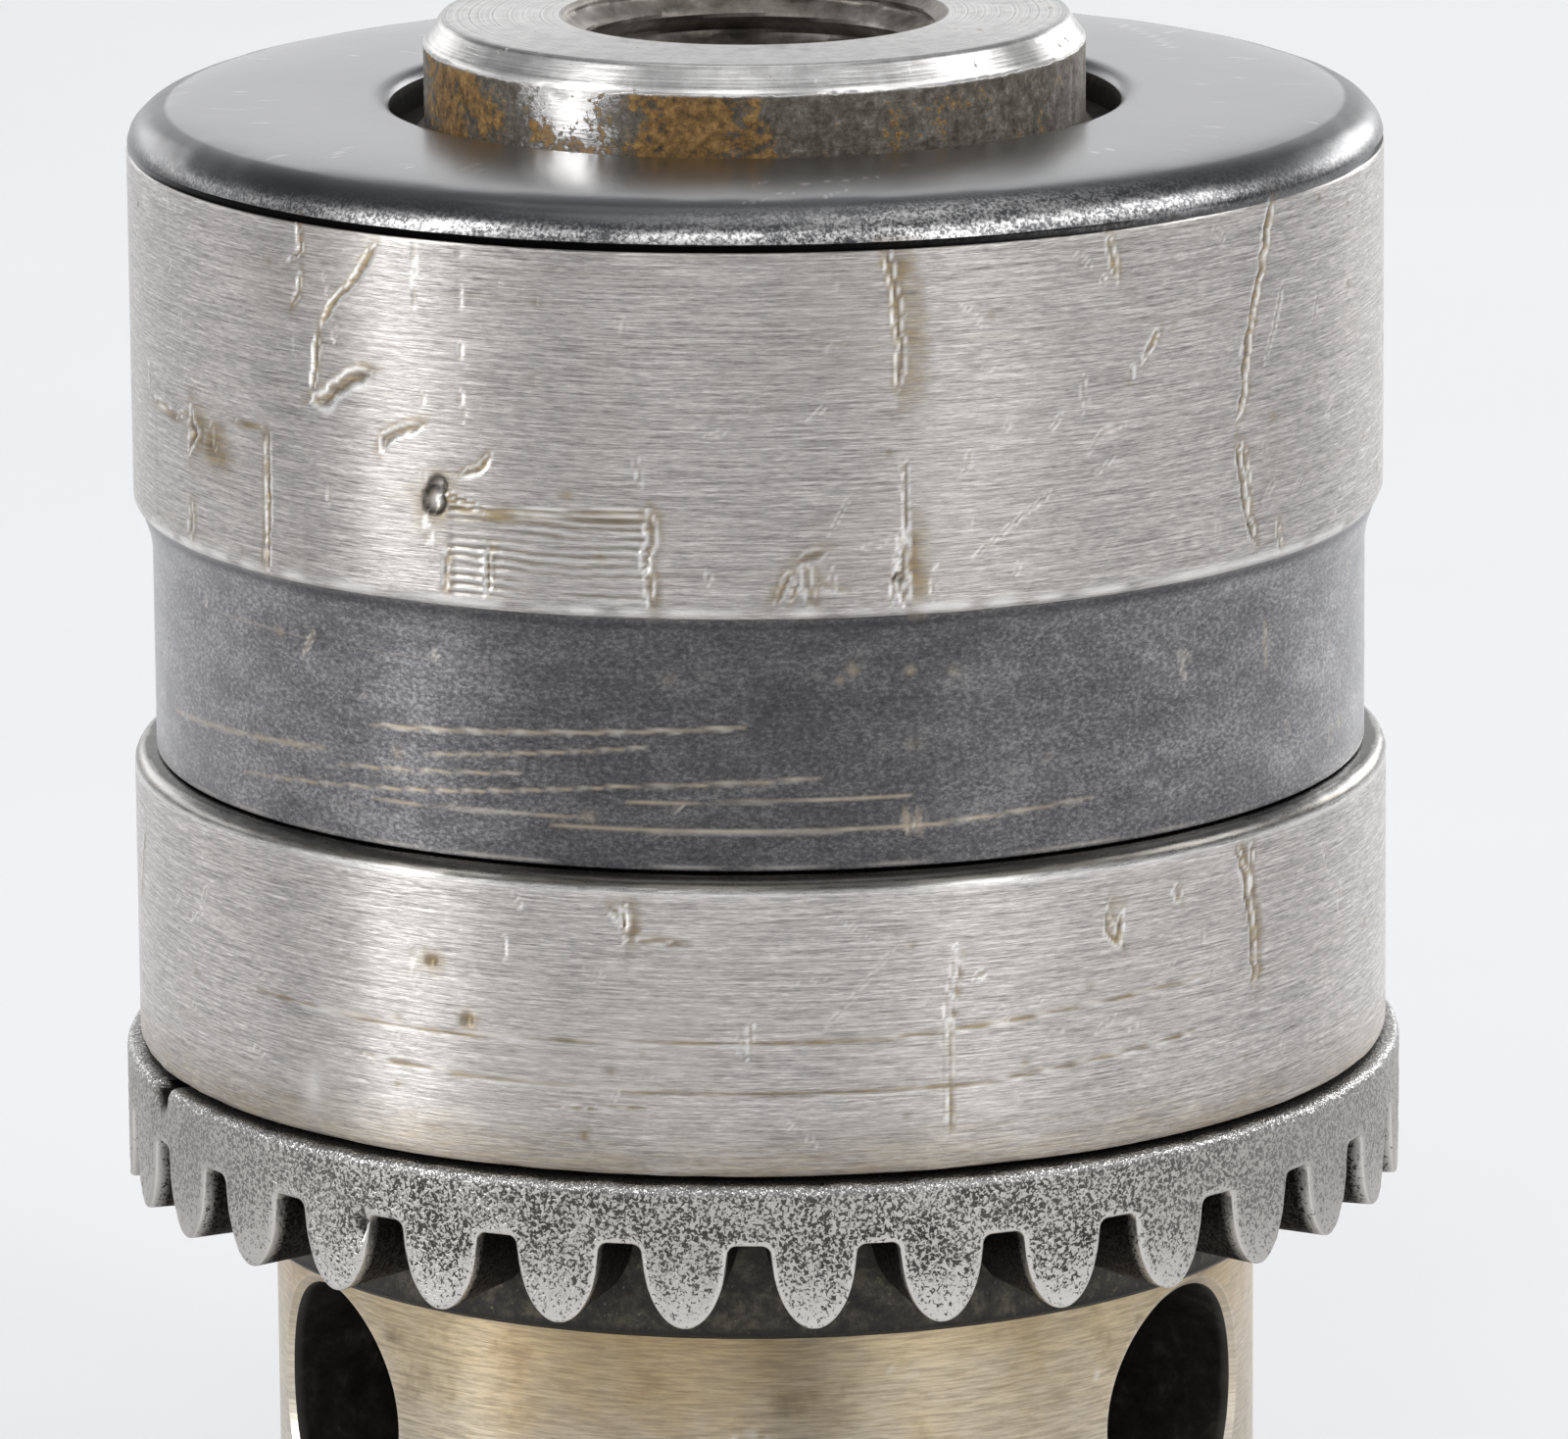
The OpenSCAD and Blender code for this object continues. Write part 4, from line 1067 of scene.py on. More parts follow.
class Layers(dict):
    """Named numbers from 0 to 1 at each point of a mesh, which its materials read."""

    def __init__(self, shape, names):
        super().__init__((name, np.zeros(shape)) for name in names.split())

    def lift(self, name, amount):
        """Raises a layer to an amount wherever it is lower."""
        self[name] = np.maximum(self[name], amount)

    def store(self, mesh):
        """Keeps the layers on the mesh."""
        for name, value in self.items():
            attribute = mesh.attributes.new(name, "FLOAT", "POINT")
            attribute.data.foreach_set("value", np.clip(value, 0, 1).astype(np.float32).ravel())


def finish_piece(piece, body, nodes, materials, indices, angle=40):
    """Gives a piece its materials, smooth shading and body, and hides the CAD nodes it stands for."""
    mesh = piece.data
    mesh.materials.clear()
    for material in materials:
        mesh.materials.append(material)
    mesh.polygons.foreach_set("material_index", np.asarray(indices, np.int32))
    mesh.shade_smooth()
    mesh.set_sharp_from_angle(angle=math.radians(angle))
    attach(piece, body)
    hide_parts(*nodes)


# ---------------------------------------------------------------- Fixed body
FINE, COARSE = 1200, 480
AROUND_BAND = 2 * math.pi * 20


def jaw_back(z):
    """Radius of the body's core behind the jaws at a height, clear of the nut's thread."""
    return JAW_X0 + JAW_BORE_R / math.cos(JAW_TILT) + z * math.tan(JAW_TILT) - 1.2


def rear_corner():
    """The rear face's outer part: round at the edge, then ever flatter inwards, with no line between."""
    turns = [math.radians(11 + 49 * i / 12) for i in range(13)]
    centre_r, edge_height = BAND_R - EDGE_R, EDGE_R - DOME
    corner = [(centre_r + EDGE_R * math.cos(t), BAND_TOP + edge_height * math.sin(t)) for t in turns]
    end_r, end_z = corner[-1]
    reach, drop, dome = end_r - DOME_R, FACE_Z - end_z, 0.16
    slope = edge_height / EDGE_R / math.tan(turns[-1])
    power = (slope * reach - 2.2 * dome) / (drop - dome)
    steps = [1 - (i / 24) ** 1.6 for i in range(1, 25)]
    face = [(DOME_R + reach * s, FACE_Z - dome * s**2.2 - (drop - dome) * s**power) for s in steps]
    return corner + face


def seam_at(azimuth):
    """How open the seam under the rounded edge is: it closes up at the right and at the far left."""
    closed = facing(azimuth, 58, 24) + 0.7 * facing(azimuth, -80, 14)
    return 1 - np.clip(closed * 1.15, 0, 1)


def rear_shell():
    """Outer part of the body: rear face, rounded edge, bright band, recessed band and journal."""
    seam_r, well_round = BAND_R - SEAM_DEPTH, 0.6
    points = profile(
        ((SHELL_BORE_R, SHOULDER_Z), 5), ((JOURNAL_R, SHOULDER_Z), 3), ((JOURNAL_R, RECESS_Z), 3),
        ((RECESS_R - 0.05, RECESS_Z), 1), ((RECESS_R, RECESS_Z + 0.05), 0.1), ((RECESS_R, FLARE_Z), 0.12),
        ((RECESS_R + 0.09, FLARE_Z + 0.55), 0.12), ((BAND_R - 0.22, BAND_Z - 0.22), 0.12),
        ((BAND_R - 0.06, BAND_Z - 0.06), 0.1), ((BAND_R, BAND_Z + 0.08), 0.105),
        ((BAND_R, BAND_TOP - 0.05), 9), ((BAND_R - 0.04, BAND_TOP), 9),
        ((seam_r, BAND_TOP + 0.02), 9), ((seam_r, BAND_TOP + SEAM_HEIGHT), 9),
        rear_corner(), ((WELL_R + 0.8, FACE_Z), 0.5),
        arc((WELL_R + well_round, FACE_Z - well_round), well_round, 90, 180, 6),
        ((WELL_R, WELL_Z - 0.5), 3), ((SHELL_BORE_R, WELL_Z - 1.6), 12))
    A, R, Z, out, up = revolve(points, FINE)
    in_seam = np.abs(points[:, :1] - seam_r) < 0.001
    R = R + np.where(in_seam, 0.15 * (1 - seam_at(A)), 0)
    side = out > 0.99
    move = np.where(side & (Z > BAND_Z), upper_wear(A, Z).move, 0)
    move += np.where(side & (Z > RECESS_Z) & (Z < FLARE_Z + 0.3), dark_wear(A, Z).move, 0)
    uneven = wobble(np.radians(A) * R, Z, 1.3, 41, AROUND_BAND) - 0.5
    edge = np.clip((Z - BAND_TOP) / 0.2, 0, 1) * np.clip((R - 19.0) / 0.5, 0, 1)
    move += 0.03 * edge * uneven
    move += np.where(Z < BAND_Z + 0.3, 0.05 * bell(Z, BAND_Z, 0.18) * (uneven - 0.5), 0)
    # Nothing swells past the widest radius
    move = np.minimum(move, 0) + np.clip(move, 0, None) * (R < BAND_R - 0.1)
    return link_object("body_shell", ring_mesh("body_shell", to_xyz(A, R + move * out, Z + move * up)))


def thread_depth_at(azimuth, height):
    """How far the spindle thread cuts into the wall at each point."""
    turn = (height / THREAD_PITCH - azimuth / 360) % 1
    shape = np.clip((0.5 - np.abs(turn - 0.5)) * 2 * 1.35 - 0.18, 0, 1)
    return (THREAD_MAJOR_R - THREAD_R) * shape


def core():
    """Inner part of the body: nose, groove, spigot, boss, thread and bore."""
    thread_low = TOTAL_H - THREAD_DEPTH
    boss_top_r = BOSS_R - BOSS_CHAMFER[0]
    points = profile(
        ((BORE_R + 0.6, 0), 1.2), ((NOSE_FACE_R, 0), 0.3), ((NOSE_FACE_R + 0.35, 0.2), 0.5),
        arc((NOSE_R - 0.9, CONE_Z + 0.2), 0.9, -30, 0, 5), ((NOSE_R, CONE_Z + 0.9), 0.22),
        ((NOSE_R, GROOVE_Z - 0.25), 0.3), ((NOSE_R - 0.07, GROOVE_Z - 0.07), 0.3),
        ((NOSE_R - 0.25, GROOVE_Z), 2), ((jaw_back(GROOVE_Z), GROOVE_Z), 3),
        ((jaw_back(SPIGOT_Z), SPIGOT_Z), 3), ((SPIGOT_R, SPIGOT_Z), 3), ((SPIGOT_R, WELL_Z - 1.35), 3),
        ((WELL_R + 1, WELL_Z), 0.4), ((BOSS_R + 0.3, WELL_Z), 0.1), ((BOSS_R, WELL_Z + 0.3), 0.14),
        ((BOSS_R, CHAMFER_Z - 0.05), 0.06), ((BOSS_R - 0.05, CHAMFER_Z + 0.05), 0.12),
        ((boss_top_r + 0.05, TOTAL_H - 0.05), 0.08), ((boss_top_r - 0.06, TOTAL_H), 0.2),
        ((MOUTH_R, TOTAL_H), 0.12), ((MOUTH_R - 0.12, TOTAL_H - 0.12), 0.12),
        ((THREAD_R, TOTAL_H - (MOUTH_R - THREAD_R)), 0.13), ((THREAD_R, thread_low), 0.5),
        ((SCREW_R, thread_low), 2), ((SCREW_R, BORE_TOP), 1.0),
        ((BORE_R, BORE_TOP), 1.2), ((BORE_R, 0.6), 0.3))
    A, R, Z, out, _ = revolve(points, COARSE)
    in_thread = (Z > thread_low + 0.2) & (R < MOUTH_R + 0.01) & (R > THREAD_R - 0.01)
    fade = np.clip((Z - thread_low - 0.2) / 1.5, 0, 1)
    R = np.where(in_thread, np.maximum(R, THREAD_R + thread_depth_at(A, Z) * fade), R)
    nose = (out > 0.9) & (Z > CONE_Z) & (Z < GROOVE_Z) & (R > NOSE_R - 0.2)
    move = np.where(nose, np.minimum(nose_wear(A, Z).move, 0), 0)
    boss = (out > 0.9) & (Z > WELL_Z + 0.3) & (R > BOSS_R - 0.1)
    u, around = np.radians(A) * BOSS_R, 2 * math.pi * BOSS_R
    pitted = wobble(u, Z, 0.32, 51, around) * wobble(u, Z, 1.6, 52, around)
    above_foot = np.clip((Z - WELL_Z - 0.3) / 0.2, 0, 1)
    move -= np.where(boss, 0.10 * np.clip(pitted - 0.28, 0, 1) * above_foot, 0)
    return link_object("body_core", ring_mesh("body_core", to_xyz(A, R + move, Z)))


def jaw_cutter(angle):
    """A rod along one jaw's bore."""
    turns = np.linspace(0, 2 * math.pi, 96, False)
    ends = (-2 / math.cos(JAW_TILT), JAW_TOP / math.cos(JAW_TILT))
    loops = [[(JAW_BORE_R * math.cos(t), JAW_BORE_R * math.sin(t), z) for t in turns] for z in ends]
    at = Matrix.Rotation(math.radians(angle), 4, "Z") @ Matrix.Translation((JAW_X0 * MM, 0, 0))
    return tube_object("jaw_cutter", loops, at @ Matrix.Rotation(JAW_TILT, 4, "Y"))


def pilot_cutter(angle):
    """A radial rod for a key pilot, with a chamfer that follows the nose's curve."""
    turns = np.linspace(0, 2 * math.pi, 128, False)

    def level(radius, x):
        """Points at a radius round the hole, all at one distance from the spindle axis."""
        return [(x, radius * math.cos(t), radius * math.sin(t)) for t in turns]

    def sunk(radius, depth):
        """Points at a radius round the hole, each at a depth below the nose's surface."""
        across = [radius * math.cos(t) for t in turns]
        surface = [math.sqrt(NOSE_R**2 - min(y, NOSE_R - 1) ** 2) for y in across]
        return [(x - depth, y, radius * math.sin(t)) for x, y, t in zip(surface, across, turns)]

    rim_r = PILOT_R + PILOT_CHAMFER
    loops = [level(0.35 * PILOT_R, PILOT_FLOOR), level(PILOT_R, PILOT_FLOOR + 0.001), sunk(PILOT_R, 0.6),
             sunk(PILOT_R, PILOT_CHAMFER), sunk(rim_r, 0.0), sunk(rim_r + 1, -1.0)]
    at = Matrix.Rotation(math.radians(angle), 4, "Z") @ Matrix.Translation((0, 0, PILOT_Z * MM))
    return tube_object("pilot_cutter", loops, at)


def pilot_gap(azimuth, radius, z):
    """Distance from each point to the wall of the nearest key pilot."""
    x, y = radius * np.sin(np.radians(azimuth)), -radius * np.cos(np.radians(azimuth))
    best = np.full(x.shape, 1e9)
    for angle in PILOT_ANGLES:
        a = math.radians(angle)
        reach = x * math.cos(a) + y * math.sin(a)
        across = -x * math.sin(a) + y * math.cos(a)
        gap = np.where(reach > 0, np.hypot(across, z - PILOT_Z) - PILOT_R, 1e9)
        best = np.minimum(best, gap)
    return best


def mark_layers(layers, azimuth, radius, height):
    """Gouges, stains, scratches and grip prints on the two bands, the nose and the rear face."""
    places = (
        (upper_wear, (height > BAND_Z - 0.4) & (height < BAND_TOP + 0.4) & (radius > 20)),
        (dark_wear, (height < BAND_Z - 0.4) & (height > RECESS_Z - 0.1) & (radius > 19.5)),
        (nose_wear, (height < GROOVE_Z) & (height > CONE_Z)))
    for wear_of, there in places:
        wear = wear_of(azimuth, height)
        for name in ("stain", "soot", "bare", "grip"):
            layers.lift(name, there * getattr(wear, name))
    on_face = (height > FACE_Z - 0.3) & (height < FACE_Z + 0.01) & (radius < BAND_R - 1.2)
    layers.lift("bare", on_face * face_wear(azimuth, radius).bare)


def edge_layers(layers, azimuth, radius, height):
    """The rounded edge: painted shade in the seam under it, worn specks, and painted shade on the oxide at
    the sides and round the well's rim.
    """
    # Painted shade in the seam under the rounded edge.
    seam = (height > BAND_TOP - 0.01) & (height < BAND_TOP + 0.24) & (radius > 20)
    layers.lift("soot", seam * seam_at(azimuth))
    rounding = np.degrees(np.arctan2(height - BAND_TOP, radius - (BAND_R - EDGE_R)))
    on_edge = (height > BAND_TOP + 0.02) & (radius > BAND_R - EDGE_R)
    patchy = wobble(np.radians(azimuth) * 20, height, 4.0, 61, AROUND_BAND)
    ahead = np.clip(1.25 - np.abs(turn_distance(azimuth, 0)) / 60, 0.35, 1)
    in_front = 1 - 0.4 * facing(azimuth, -3, 11)
    low_specks = 1.3 * bell(rounding, 18, 12) * np.clip(0.35 + patchy, 0, 1) * ahead * in_front
    high_specks = 0.38 * ahead * np.clip(patchy * 1.5 - 0.5, 0, 1)
    high_specks += 0.6 * facing(azimuth, 24, 17)
    layers.lift("wear", on_edge * (low_specks + high_specks * bell(rounding, 45, 25)))
    # Painted shade: the edge's oxide is darker and loses its coat away from the front.
    aside = beyond(azimuth, 5, 25, 55)
    layers.lift("dull", 0.7 * aside * (on_edge & (rounding < 78)))
    # Painted shade round the well's rim.
    well_rim_shade = bell(radius, WELL_R + 0.15, 0.35) * (height > WELL_Z) * (height < FACE_Z + 0.01)
    layers.lift("dull", 0.8 * well_rim_shade)


def recess_layers(layers, azimuth, radius, height):
    """The recessed band: a painted sheen that lightens its sides, a painted shadow under the bright band,
    and bare along its lower rim.
    """
    recess = (height < BAND_Z - 0.4) & (height > RECESS_Z - 0.1) & (radius > 19.5)
    # Painted sheen: the band is darker at the front and lighter towards the sides.
    layers.lift("fade", 0.9 * beyond(azimuth, 2, 14, 60) * recess)
    # Painted shadow just under the bright band.
    layers.lift("soot", 0.55 * bell(height, BAND_Z - 0.42, 0.14) * (radius > 20))
    ragged = np.clip(wobble(np.radians(azimuth) * radius, height, 1.7, 62, AROUND_BAND) * 2 - 0.6, 0, 1)
    layers.lift("bare", 0.5 * bell(height, RECESS_Z + 0.17, 0.05) * (radius > 20) * ragged)


def nose_layers(layers, azimuth, radius, height):
    """The nose: a column of painted shade, a painted shadow along its top under the gear, and bright rims
    round the key pilots.
    """
    nose = (height < GROOVE_Z) & (height > CONE_Z) & (radius > 15)
    # Painted shade: a dark column down the front.
    layers.lift("soot", 0.42 * facing(azimuth, 6, 6.5) * nose)
    # Painted shadow along the top, under the gear.
    layers.lift("soot", 0.6 * bell(height, GROOVE_Z - 0.05, 0.45) * nose)
    rim = bell(pilot_gap(azimuth, radius, height), PILOT_CHAMFER * 0.5, 0.11)
    layers.lift("bare", 0.6 * rim * (radius > NOSE_R - 0.45) * (height < GROOVE_Z))


def boss_layers(layers, azimuth, radius, height):
    """The boss: bright edges, and rust that is orange at the front and the left, with one bright column."""
    corner = bell(radius, BOSS_R, 0.10) * bell(height, CHAMFER_Z, 0.10)
    chamfer = np.clip((height - (CHAMFER_Z - 0.1)) / 0.1, 0, 1) * (radius > BOSS_R - 0.75)
    layers.lift("bare", np.maximum(0.6 * corner, 0.1 * chamfer))
    # Painted shade: the chamfer is darker away from the front.
    far_round = beyond(azimuth, 2, 40, 65)
    layers.lift("soot", 0.4 * chamfer * far_round * (radius < BOSS_R + 0.3))
    side = (radius > BOSS_R - 0.3) & (radius < BOSS_R + 0.3) & (height > WELL_Z - 0.1)
    side = side * np.clip((CHAMFER_Z - 0.05 - height) / 0.15, 0, 1)
    layers.lift("rust", side * (0.75 - 0.72 * facing(azimuth, -31, 10)))
    low_flecks = 0.30 * facing(azimuth, -33, 8)
    orange = low_flecks * np.clip(TOTAL_H - 1.6 - height, 0, 1)
    for centre, width, amount in ((-9, 13, 1), (-62, 15, 1), (45, 45, 0.22), (165, 30, 0.8)):
        orange += amount * facing(azimuth, centre, width)
    layers.lift("orange", side * np.clip(orange, 0, 1))


# The body's materials, in the order in which make_body lists them
BAND, OXIDE, BLUED, BOSS, NOSE, OILY_SHADED, BORE = range(7)


def body_indices(mesh):
    """Which material each face of the body takes; a later line wins over an earlier one."""
    azimuth, r, z, normal = face_values(mesh)
    index = np.full(len(r), OILY_SHADED)
    index[(r > BAND_R - 0.9) & (z > BAND_Z - 0.12) & (z < BAND_TOP)] = BAND
    index[(z > BAND_TOP) & (r > WELL_R) & (z <= FACE_Z + 0.01)] = OXIDE
    # Painted shade: the well's wall round the boss takes the near-black bore material.
    index[(z > WELL_Z - 0.05) & (z < FACE_Z - 0.3) & (r > BOSS_R + 0.25) & (r < WELL_R + 0.6)] = OILY_SHADED
    index[(r > RECESS_R - 0.4) & (z > RECESS_Z - 0.01) & (z <= BAND_Z - 0.12)] = BLUED
    index[(z > WELL_Z) & (r > MOUTH_R - 0.14) & (r < BOSS_R + 0.3)] = BOSS
    # The nose's skin faces outwards or down, unlike the walls of its holes
    outside = (z < GROOVE_Z - 0.02) & (r > 7.0) & ((z < 0.01) | (normal[:, 2] < 0) | (r > NOSE_R - 0.35))
    away = np.stack([np.sin(np.radians(azimuth)), -np.cos(np.radians(azimuth))], 1)
    radial = np.einsum("ij,ij->i", normal[:, :2], away)
    skin = outside & ((radial > 0.3) | (z < 0.25))
    skin &= r > np.where(z < CONE_Z + 1, 11.4 + z * 0.53, NOSE_R - 0.5)
    index[skin | ((z < 0.21) & (r > BORE_R + 0.3))] = NOSE
    index[(z > BORE_TOP + 7) & (r < MOUTH_R + 0.3) & (z < TOTAL_H - 0.01)] = BORE
    return index


def make_body():
    """The fixed body, joined from its outer and inner parts and cut by the jaw bores and key pilots."""
    body = rear_shell()
    combine(body, [core()], "UNION")
    cutters = [jaw_cutter(angle) for angle in JAW_ANGLES] + [pilot_cutter(angle) for angle in PILOT_ANGLES]
    combine(body, cutters, "DIFFERENCE")
    body.name = body.data.name = "chuck_body"
    places = cylindrical(body.data)
    layers = Layers(len(body.data.vertices), "stain soot bare grip rust orange dull fade wear")
    for add_layers in (mark_layers, edge_layers, recess_layers, nose_layers, boss_layers):
        add_layers(layers, *places)
    layers.store(body.data)
    materials = [turned_steel("band_steel", 0.96), black_oxide(), blued_band(), boss_steel(), nose_steel(),
                 oily_shaded_bore(), bore_wall()]
    finish_piece(body, "body", ["body"], materials, body_indices(body.data))


# ---------------------------------------------------------------- Sleeve
SLEEVE_ARC_Z = SLEEVE_TOP - SLEEVE_EDGE_R
AROUND_SLEEVE = 2 * math.pi * SLEEVE_R


def sleeve_layers(layers, azimuth, radius, height):
    """The sleeve's marks; on its rounded top edge painted shade, a painted brown reflection and a painted
    highlight along its foot; and painted shade on its top face, under its band and at the foot of its skirt.
    """
    wear = lower_wear(azimuth, height)
    on_band = (radius > SLEEVE_R - 0.5) & (height > SLEEVE_LOW - 0.1) & (height < SLEEVE_ARC_Z + 0.1)
    for name in ("stain", "soot", "bare"):
        layers.lift(name, on_band * getattr(wear, name))
    rounding = np.degrees(np.arctan2(height - SLEEVE_ARC_Z, radius - (SLEEVE_R - SLEEVE_EDGE_R)))
    on_corner = (height > SLEEVE_ARC_Z) & (radius > SLEEVE_R - SLEEVE_EDGE_R)
    patchy = wobble(np.radians(azimuth) * SLEEVE_R, height, 3.0, 72, AROUND_SLEEVE)
    # Painted highlight: a bright line along the foot of the rounded edge.
    under_corner = bell(height, SLEEVE_ARC_Z - 0.02, 0.08) * (radius > SLEEVE_R - 0.2)
    layers.lift("bare", 0.7 * under_corner * np.clip(0.3 + patchy, 0, 1))
    # Painted reflection: a brown band on the lower half of the rounded edge.
    layers.lift("stain", on_corner * bell(rounding, 32, 8) * 0.8 * patchy)
    # Painted shade on the upper part of the rounded edge beside the gap, weaker at the sides.
    sooty = np.clip((rounding - 4 - 10 * patchy) / 12, 0, 0.85)
    sooty *= 1 - 0.4 * beyond(azimuth, 0, 35, 65)
    layers.lift("soot", on_corner * sooty)
    # Painted shade on the top face in the gap, at the skirt's foot and under the band.
    layers.lift("soot", 0.95 * ((height > SLEEVE_TOP - 0.03) & (radius > 18)))
    layers.lift("soot", 0.9 * ((radius < SKIRT_R + 0.1) & (height < SKIRT_Z + 0.35)))
    layers.lift("soot", 0.8 * ((height < SLEEVE_LOW + 0.01) & (radius > 17.7)))


def make_sleeve():
    """The turning sleeve: a bright band with a rounded top edge, and the skirt behind the gear."""
    points = profile(
        ((SKIRT_BORE_R, SKIRT_Z), 0.5), ((SKIRT_R - 0.15, SKIRT_Z), 0.2), ((SKIRT_R, SKIRT_Z + 0.15), 0.3),
        ((SKIRT_R, GEAR_TOP), 1.0), ((SPACER_R, GEAR_TOP), 0.3), ((SPACER_R, SLEEVE_LOW), 0.5),
        ((SLEEVE_R - 0.15, SLEEVE_LOW), 0.2), ((SLEEVE_R - 0.04, SLEEVE_LOW + 0.05), 0.2),
        ((SLEEVE_R, SLEEVE_LOW + 0.18), 0.105), ((SLEEVE_R, SLEEVE_ARC_Z), 9),
        arc((SLEEVE_R - SLEEVE_EDGE_R, SLEEVE_ARC_Z), SLEEVE_EDGE_R, 8, 90, 12),
        ((SLEEVE_BORE_R + 0.2, SLEEVE_TOP), 0.3), ((SLEEVE_BORE_R, SLEEVE_TOP - 0.2), 3),
        ((SLEEVE_BORE_R, STEP_Z), 3), ((SKIRT_BORE_R, STEP_Z), 3))
    A, R, Z, out, up = revolve(points, FINE)
    band = (out > 0.99) & (Z > SLEEVE_LOW) & (R > SLEEVE_R - 0.1)
    uneven = wobble(np.radians(A) * SLEEVE_R, Z, 1.1, 71, AROUND_SLEEVE) - 1
    move = np.where(band, np.minimum(lower_wear(A, Z).move, 0), 0)
    move += np.where((Z > SLEEVE_ARC_Z) & (R > SLEEVE_R - SLEEVE_EDGE_R), 0.03 * uneven, 0)
    move += np.where(R > SLEEVE_R - 0.2, 0.05 * bell(Z, SLEEVE_LOW + 0.08, 0.15) * uneven, 0)
    mesh = ring_mesh("turning_sleeve", to_xyz(A, R + move * out, Z + move * up))
    sleeve = link_object("turning_sleeve", mesh)
    layers = Layers(len(mesh.vertices), "stain soot bare")
    sleeve_layers(layers, *cylindrical(mesh))
    layers.store(mesh)
    _, r, z, normal = face_values(mesh)
    steel, edge, grease = range(3)
    index = np.full(len(r), grease)
    index[(r > SLEEVE_R - 0.3) & (z > SLEEVE_LOW) & (z < SLEEVE_ARC_Z)] = steel
    index[(z >= SLEEVE_ARC_Z) & (r > SLEEVE_BORE_R + 0.05) & (normal[:, 2] > -0.001)] = edge
    materials = [turned_steel("sleeve_steel", 1.08), burnished_edge(), greasy_black()]
    finish_piece(sleeve, "sleeve", ["sleeve"], materials, index)


# ---------------------------------------------------------------- Gear ring
HALF_PITCH = math.pi * GEAR_R / GEAR_TEETH
HALF_TOOTH = HALF_PITCH - ROOT_GAP / 2
SOLID_HALF = HALF_TOOTH + ROOT_FILLET


def tooth_outline():
    """One tooth's lower edge, from the middle of a gap to just before the next: (across, below the root)."""
    turns = np.radians(np.linspace(86, 18, 16))
    flank = [(HALF_TOOTH * math.cos(t), -TOOTH_DEPTH * math.sin(t) ** (2 / TOOTH_POWER)) for t in turns]
    tip = [(0.0, flank[0][1])]
    fillet = arc((SOLID_HALF, -ROOT_FILLET), ROOT_FILLET, 178, 90, 6)
    gap = [(SOLID_HALF + (HALF_PITCH - SOLID_HALF) * k / 3, 0.0) for k in (1, 2)]
    right = np.array(tip + flank + fillet + gap)
    return np.concatenate([[(-HALF_PITCH, 0.0)], right[:0:-1] * (-1, 1), right])


def into_metal(outline):
    """Unit normals of a tooth's outline that point into the tooth."""
    tangent = np.roll(outline, -1, 0) - np.roll(outline, 1, 0)
    tangent[0], tangent[-1] = (1, 0), (1, 0)
    inward = np.stack([-tangent[:, 1], tangent[:, 0]], 1)
    return inward / np.linalg.norm(inward, axis=1)[:, None]


def wrap_tooth(radius, across):
    """Azimuths of distances from a tooth's middle; only the gaps narrow with the radius."""
    room = math.pi * radius / GEAR_TEETH
    size = np.abs(across)
    squeeze = SOLID_HALF + (size - SOLID_HALF) * (room - SOLID_HALF) / (HALF_PITCH - SOLID_HALF)
    return np.degrees(np.sign(across) * np.where(size > SOLID_HALF, squeeze, size) / radius)


def gear_rows(outline):
    """Rows of (radius, azimuths, heights) over one tooth, from its underside round to the ring's bore."""
    across, low = outline[:, 0], TOOTH_ROOT_Z + outline[:, 1]
    inward = into_metal(outline)
    rows = [(r, wrap_tooth(r, across), low) for r in np.linspace(SKIRT_R, GEAR_R - GEAR_BEVEL, 9)]
    for turn in np.radians([22.5, 45, 67.5, 90]):
        radius = GEAR_R - GEAR_BEVEL * (1 - math.sin(turn))
        shift = inward * GEAR_BEVEL * (1 - math.cos(turn))
        rows.append((radius, wrap_tooth(radius, across + shift[:, 0]), low + shift[:, 1]))
    edge_x, edge_z = across + inward[:, 0] * GEAR_BEVEL, low + inward[:, 1] * GEAR_BEVEL
    even_x = np.linspace(-HALF_PITCH, HALF_PITCH, len(outline), endpoint=False)
    for t in np.arange(1, GEAR_FACE_ROWS + 1) / GEAR_FACE_ROWS:
        x = edge_x + 0.6 * (even_x - edge_x) * t
        rows.append((GEAR_R, np.degrees(x / GEAR_R), edge_z + (GEAR_TOP - GEAR_RIM - edge_z) * t))
    rim = arc((GEAR_R - GEAR_RIM, GEAR_TOP - GEAR_RIM), GEAR_RIM, 0, 90, 5)[1:]
    inner = [(20.2, GEAR_TOP), (19.0, GEAR_TOP), (SKIRT_R, GEAR_TOP), (SKIRT_R, GEAR_BACK_Z)]
    angles = rows[-1][1]
    return rows + [(radius, angles, np.full(len(outline), z)) for radius, z in rim + inner]


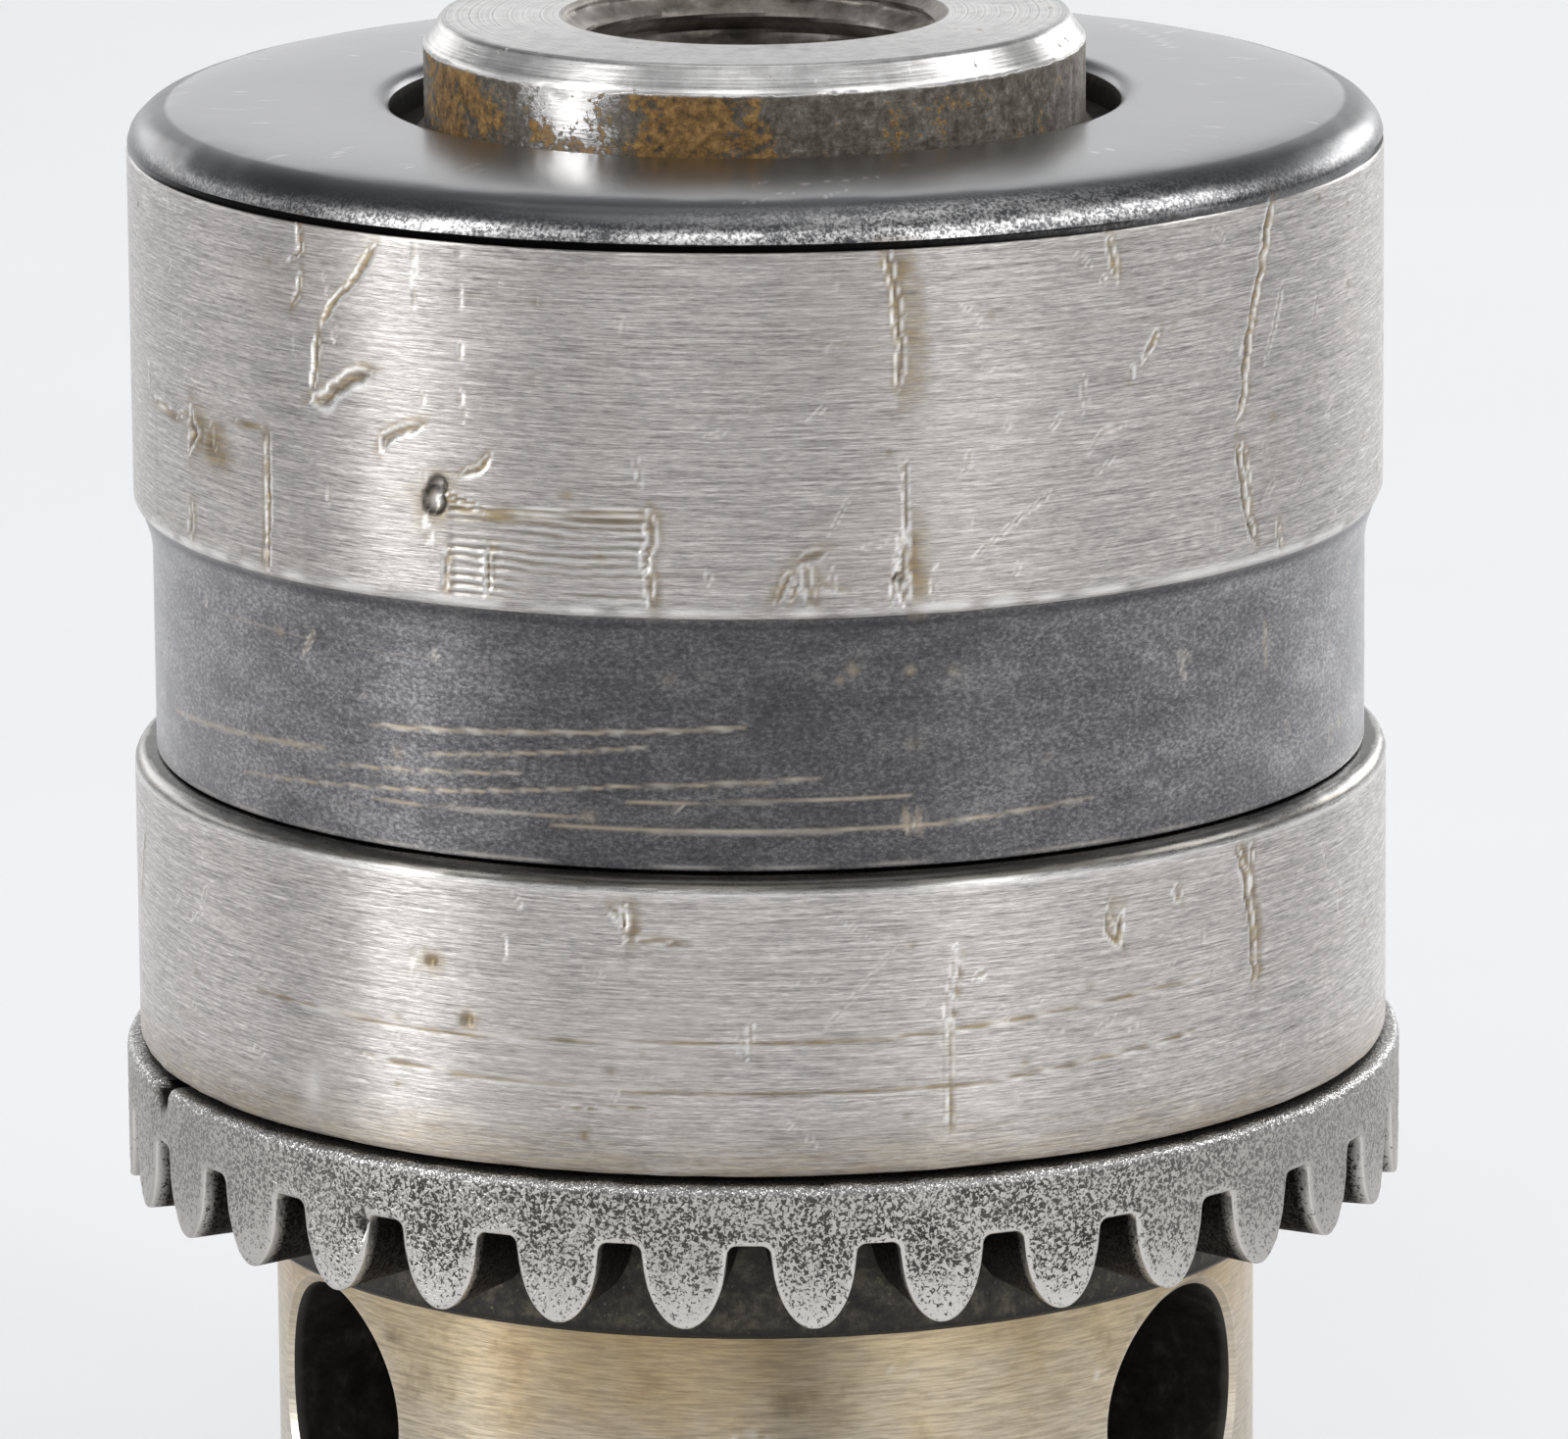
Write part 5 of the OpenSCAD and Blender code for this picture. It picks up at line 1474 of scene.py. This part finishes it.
def make_gear():
    """The gear ring: rough forged teeth, worn along their edges, with a chip, a nick and a worn rim."""
    outline = tooth_outline()
    radii, angles, heights = (np.array(part) for part in zip(*gear_rows(outline)))
    turns = GEAR_PHASE + 360 / GEAR_TEETH * (np.arange(GEAR_TEETH) + 0.5)
    A = (angles[:, None, :] + turns[:, None]).reshape(len(radii), -1)
    R = np.repeat(radii[:, None], A.shape[1], axis=1)
    Z = np.tile(heights, (1, GEAR_TEETH))
    u, around = np.radians(A) * GEAR_R, 2 * math.pi * GEAR_R
    face = R > GEAR_R - GEAR_BEVEL * 0.5
    R = R + np.where(face, 0.035 * (wobble(u, Z, 0.30, 81, around) - 1), 0)
    # A chip out of the rim at the far left, one beside a tooth root, and worn spots on the rim
    chip = facing(A, -67.4, 1.5) * bell(Z, GEAR_TOP, 0.75)
    R = R - 1.1 * chip
    Z = Z - 0.55 * chip * (Z > GEAR_TOP - 0.3)
    nick = facing(A, -35.4, 0.7) * bell(Z, 24.4, 0.32)
    R = R - np.where(R > 19, 0.45 * nick, 0)
    top = (R > GEAR_R - GEAR_RIM - 0.1) & (Z > GEAR_TOP - GEAR_RIM)
    Z = Z - np.where(top, 0.07 * wobble(u, Z * 0, 0.9, 82, around) ** 2, 0)
    mesh = ring_mesh("gear_teeth_ring", to_xyz(A, R, Z))
    gear = link_object("gear_teeth_ring", mesh)
    # Wear along the teeth's edges on the outer face, on the tips and on the rim, painted shade behind the
    # outer face, a painted shadow in the chip, and a painted sheen on the outer face at the ring's sides
    across, below = np.radians(angles) * GEAR_R, heights - TOOTH_ROOT_Z
    gap = np.hypot(across[:, :, None] - outline[:, 0], below[:, :, None] - outline[:, 1]).min(2)
    along_edge = np.tile(bell(gap, 0, 0.17), (1, GEAR_TEETH))
    tips = np.clip((TOOTH_ROOT_Z - 0.4 - Z) / 2.2, 0, 1) ** 1.3 * face
    behind = np.clip((GEAR_R - 0.10 - R) / 0.35, 0, 0.93) * (R < GEAR_R - 0.12) * (Z < GEAR_TOP - GEAR_RIM)
    layers = Layers(A.shape, "wear rim soot even")
    layers.lift("wear", np.maximum(along_edge * (R > GEAR_R - 0.3), 0.72 * tips))
    layers.lift("rim", np.clip((Z - (GEAR_TOP - GEAR_RIM * 1.15)) / 0.1, 0, 1) * (R > GEAR_R - 0.7))
    # Painted shade behind the outer face, and a painted shadow in the chip.
    layers.lift("soot", np.maximum(behind, 0.9 * (R < GEAR_R - 0.6)) + 0.8 * np.clip(chip * 1.5, 0, 1))
    # Painted sheen on the outer face at the ring's sides.
    layers.lift("even", beyond(A, 0, 32, 58) * face)
    layers.store(mesh)
    index = np.zeros(len(mesh.polygons))
    finish_piece(gear, "sleeve", ["gear_ring"], [gear_steel()], index, 50)


# ---------------------------------------------------------------- CAD nodes that stay
def make_inner_parts():
    """Materials for the jaws, nut, races, balls and cage, which stay as the CAD has them."""
    materials = {
        "jaw_": ground_steel("jaw_steel", 0.50, 0.22),
        "nut_": ground_steel("nut_steel", 0.34, 0.32, (2, 2, 8)),
        "race_": ground_steel("race_steel", 0.62, 0.16, (2, 2, 10)),
        "ball_": ground_steel("ball_steel", 0.74, 0.08, (3, 3, 3)),
        "ball_cage": cage_brass(),
    }
    for name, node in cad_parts.items():
        starts = [start for start in materials if name.startswith(start)]
        if starts:
            node.data.materials.clear()
            node.data.materials.append(materials[max(starts, key=len)])


make_camera()
make_light()
make_floor()
make_body()
make_sleeve()
make_gear()
make_inner_parts()
bpy.context.scene.view_settings.view_transform = "Standard"
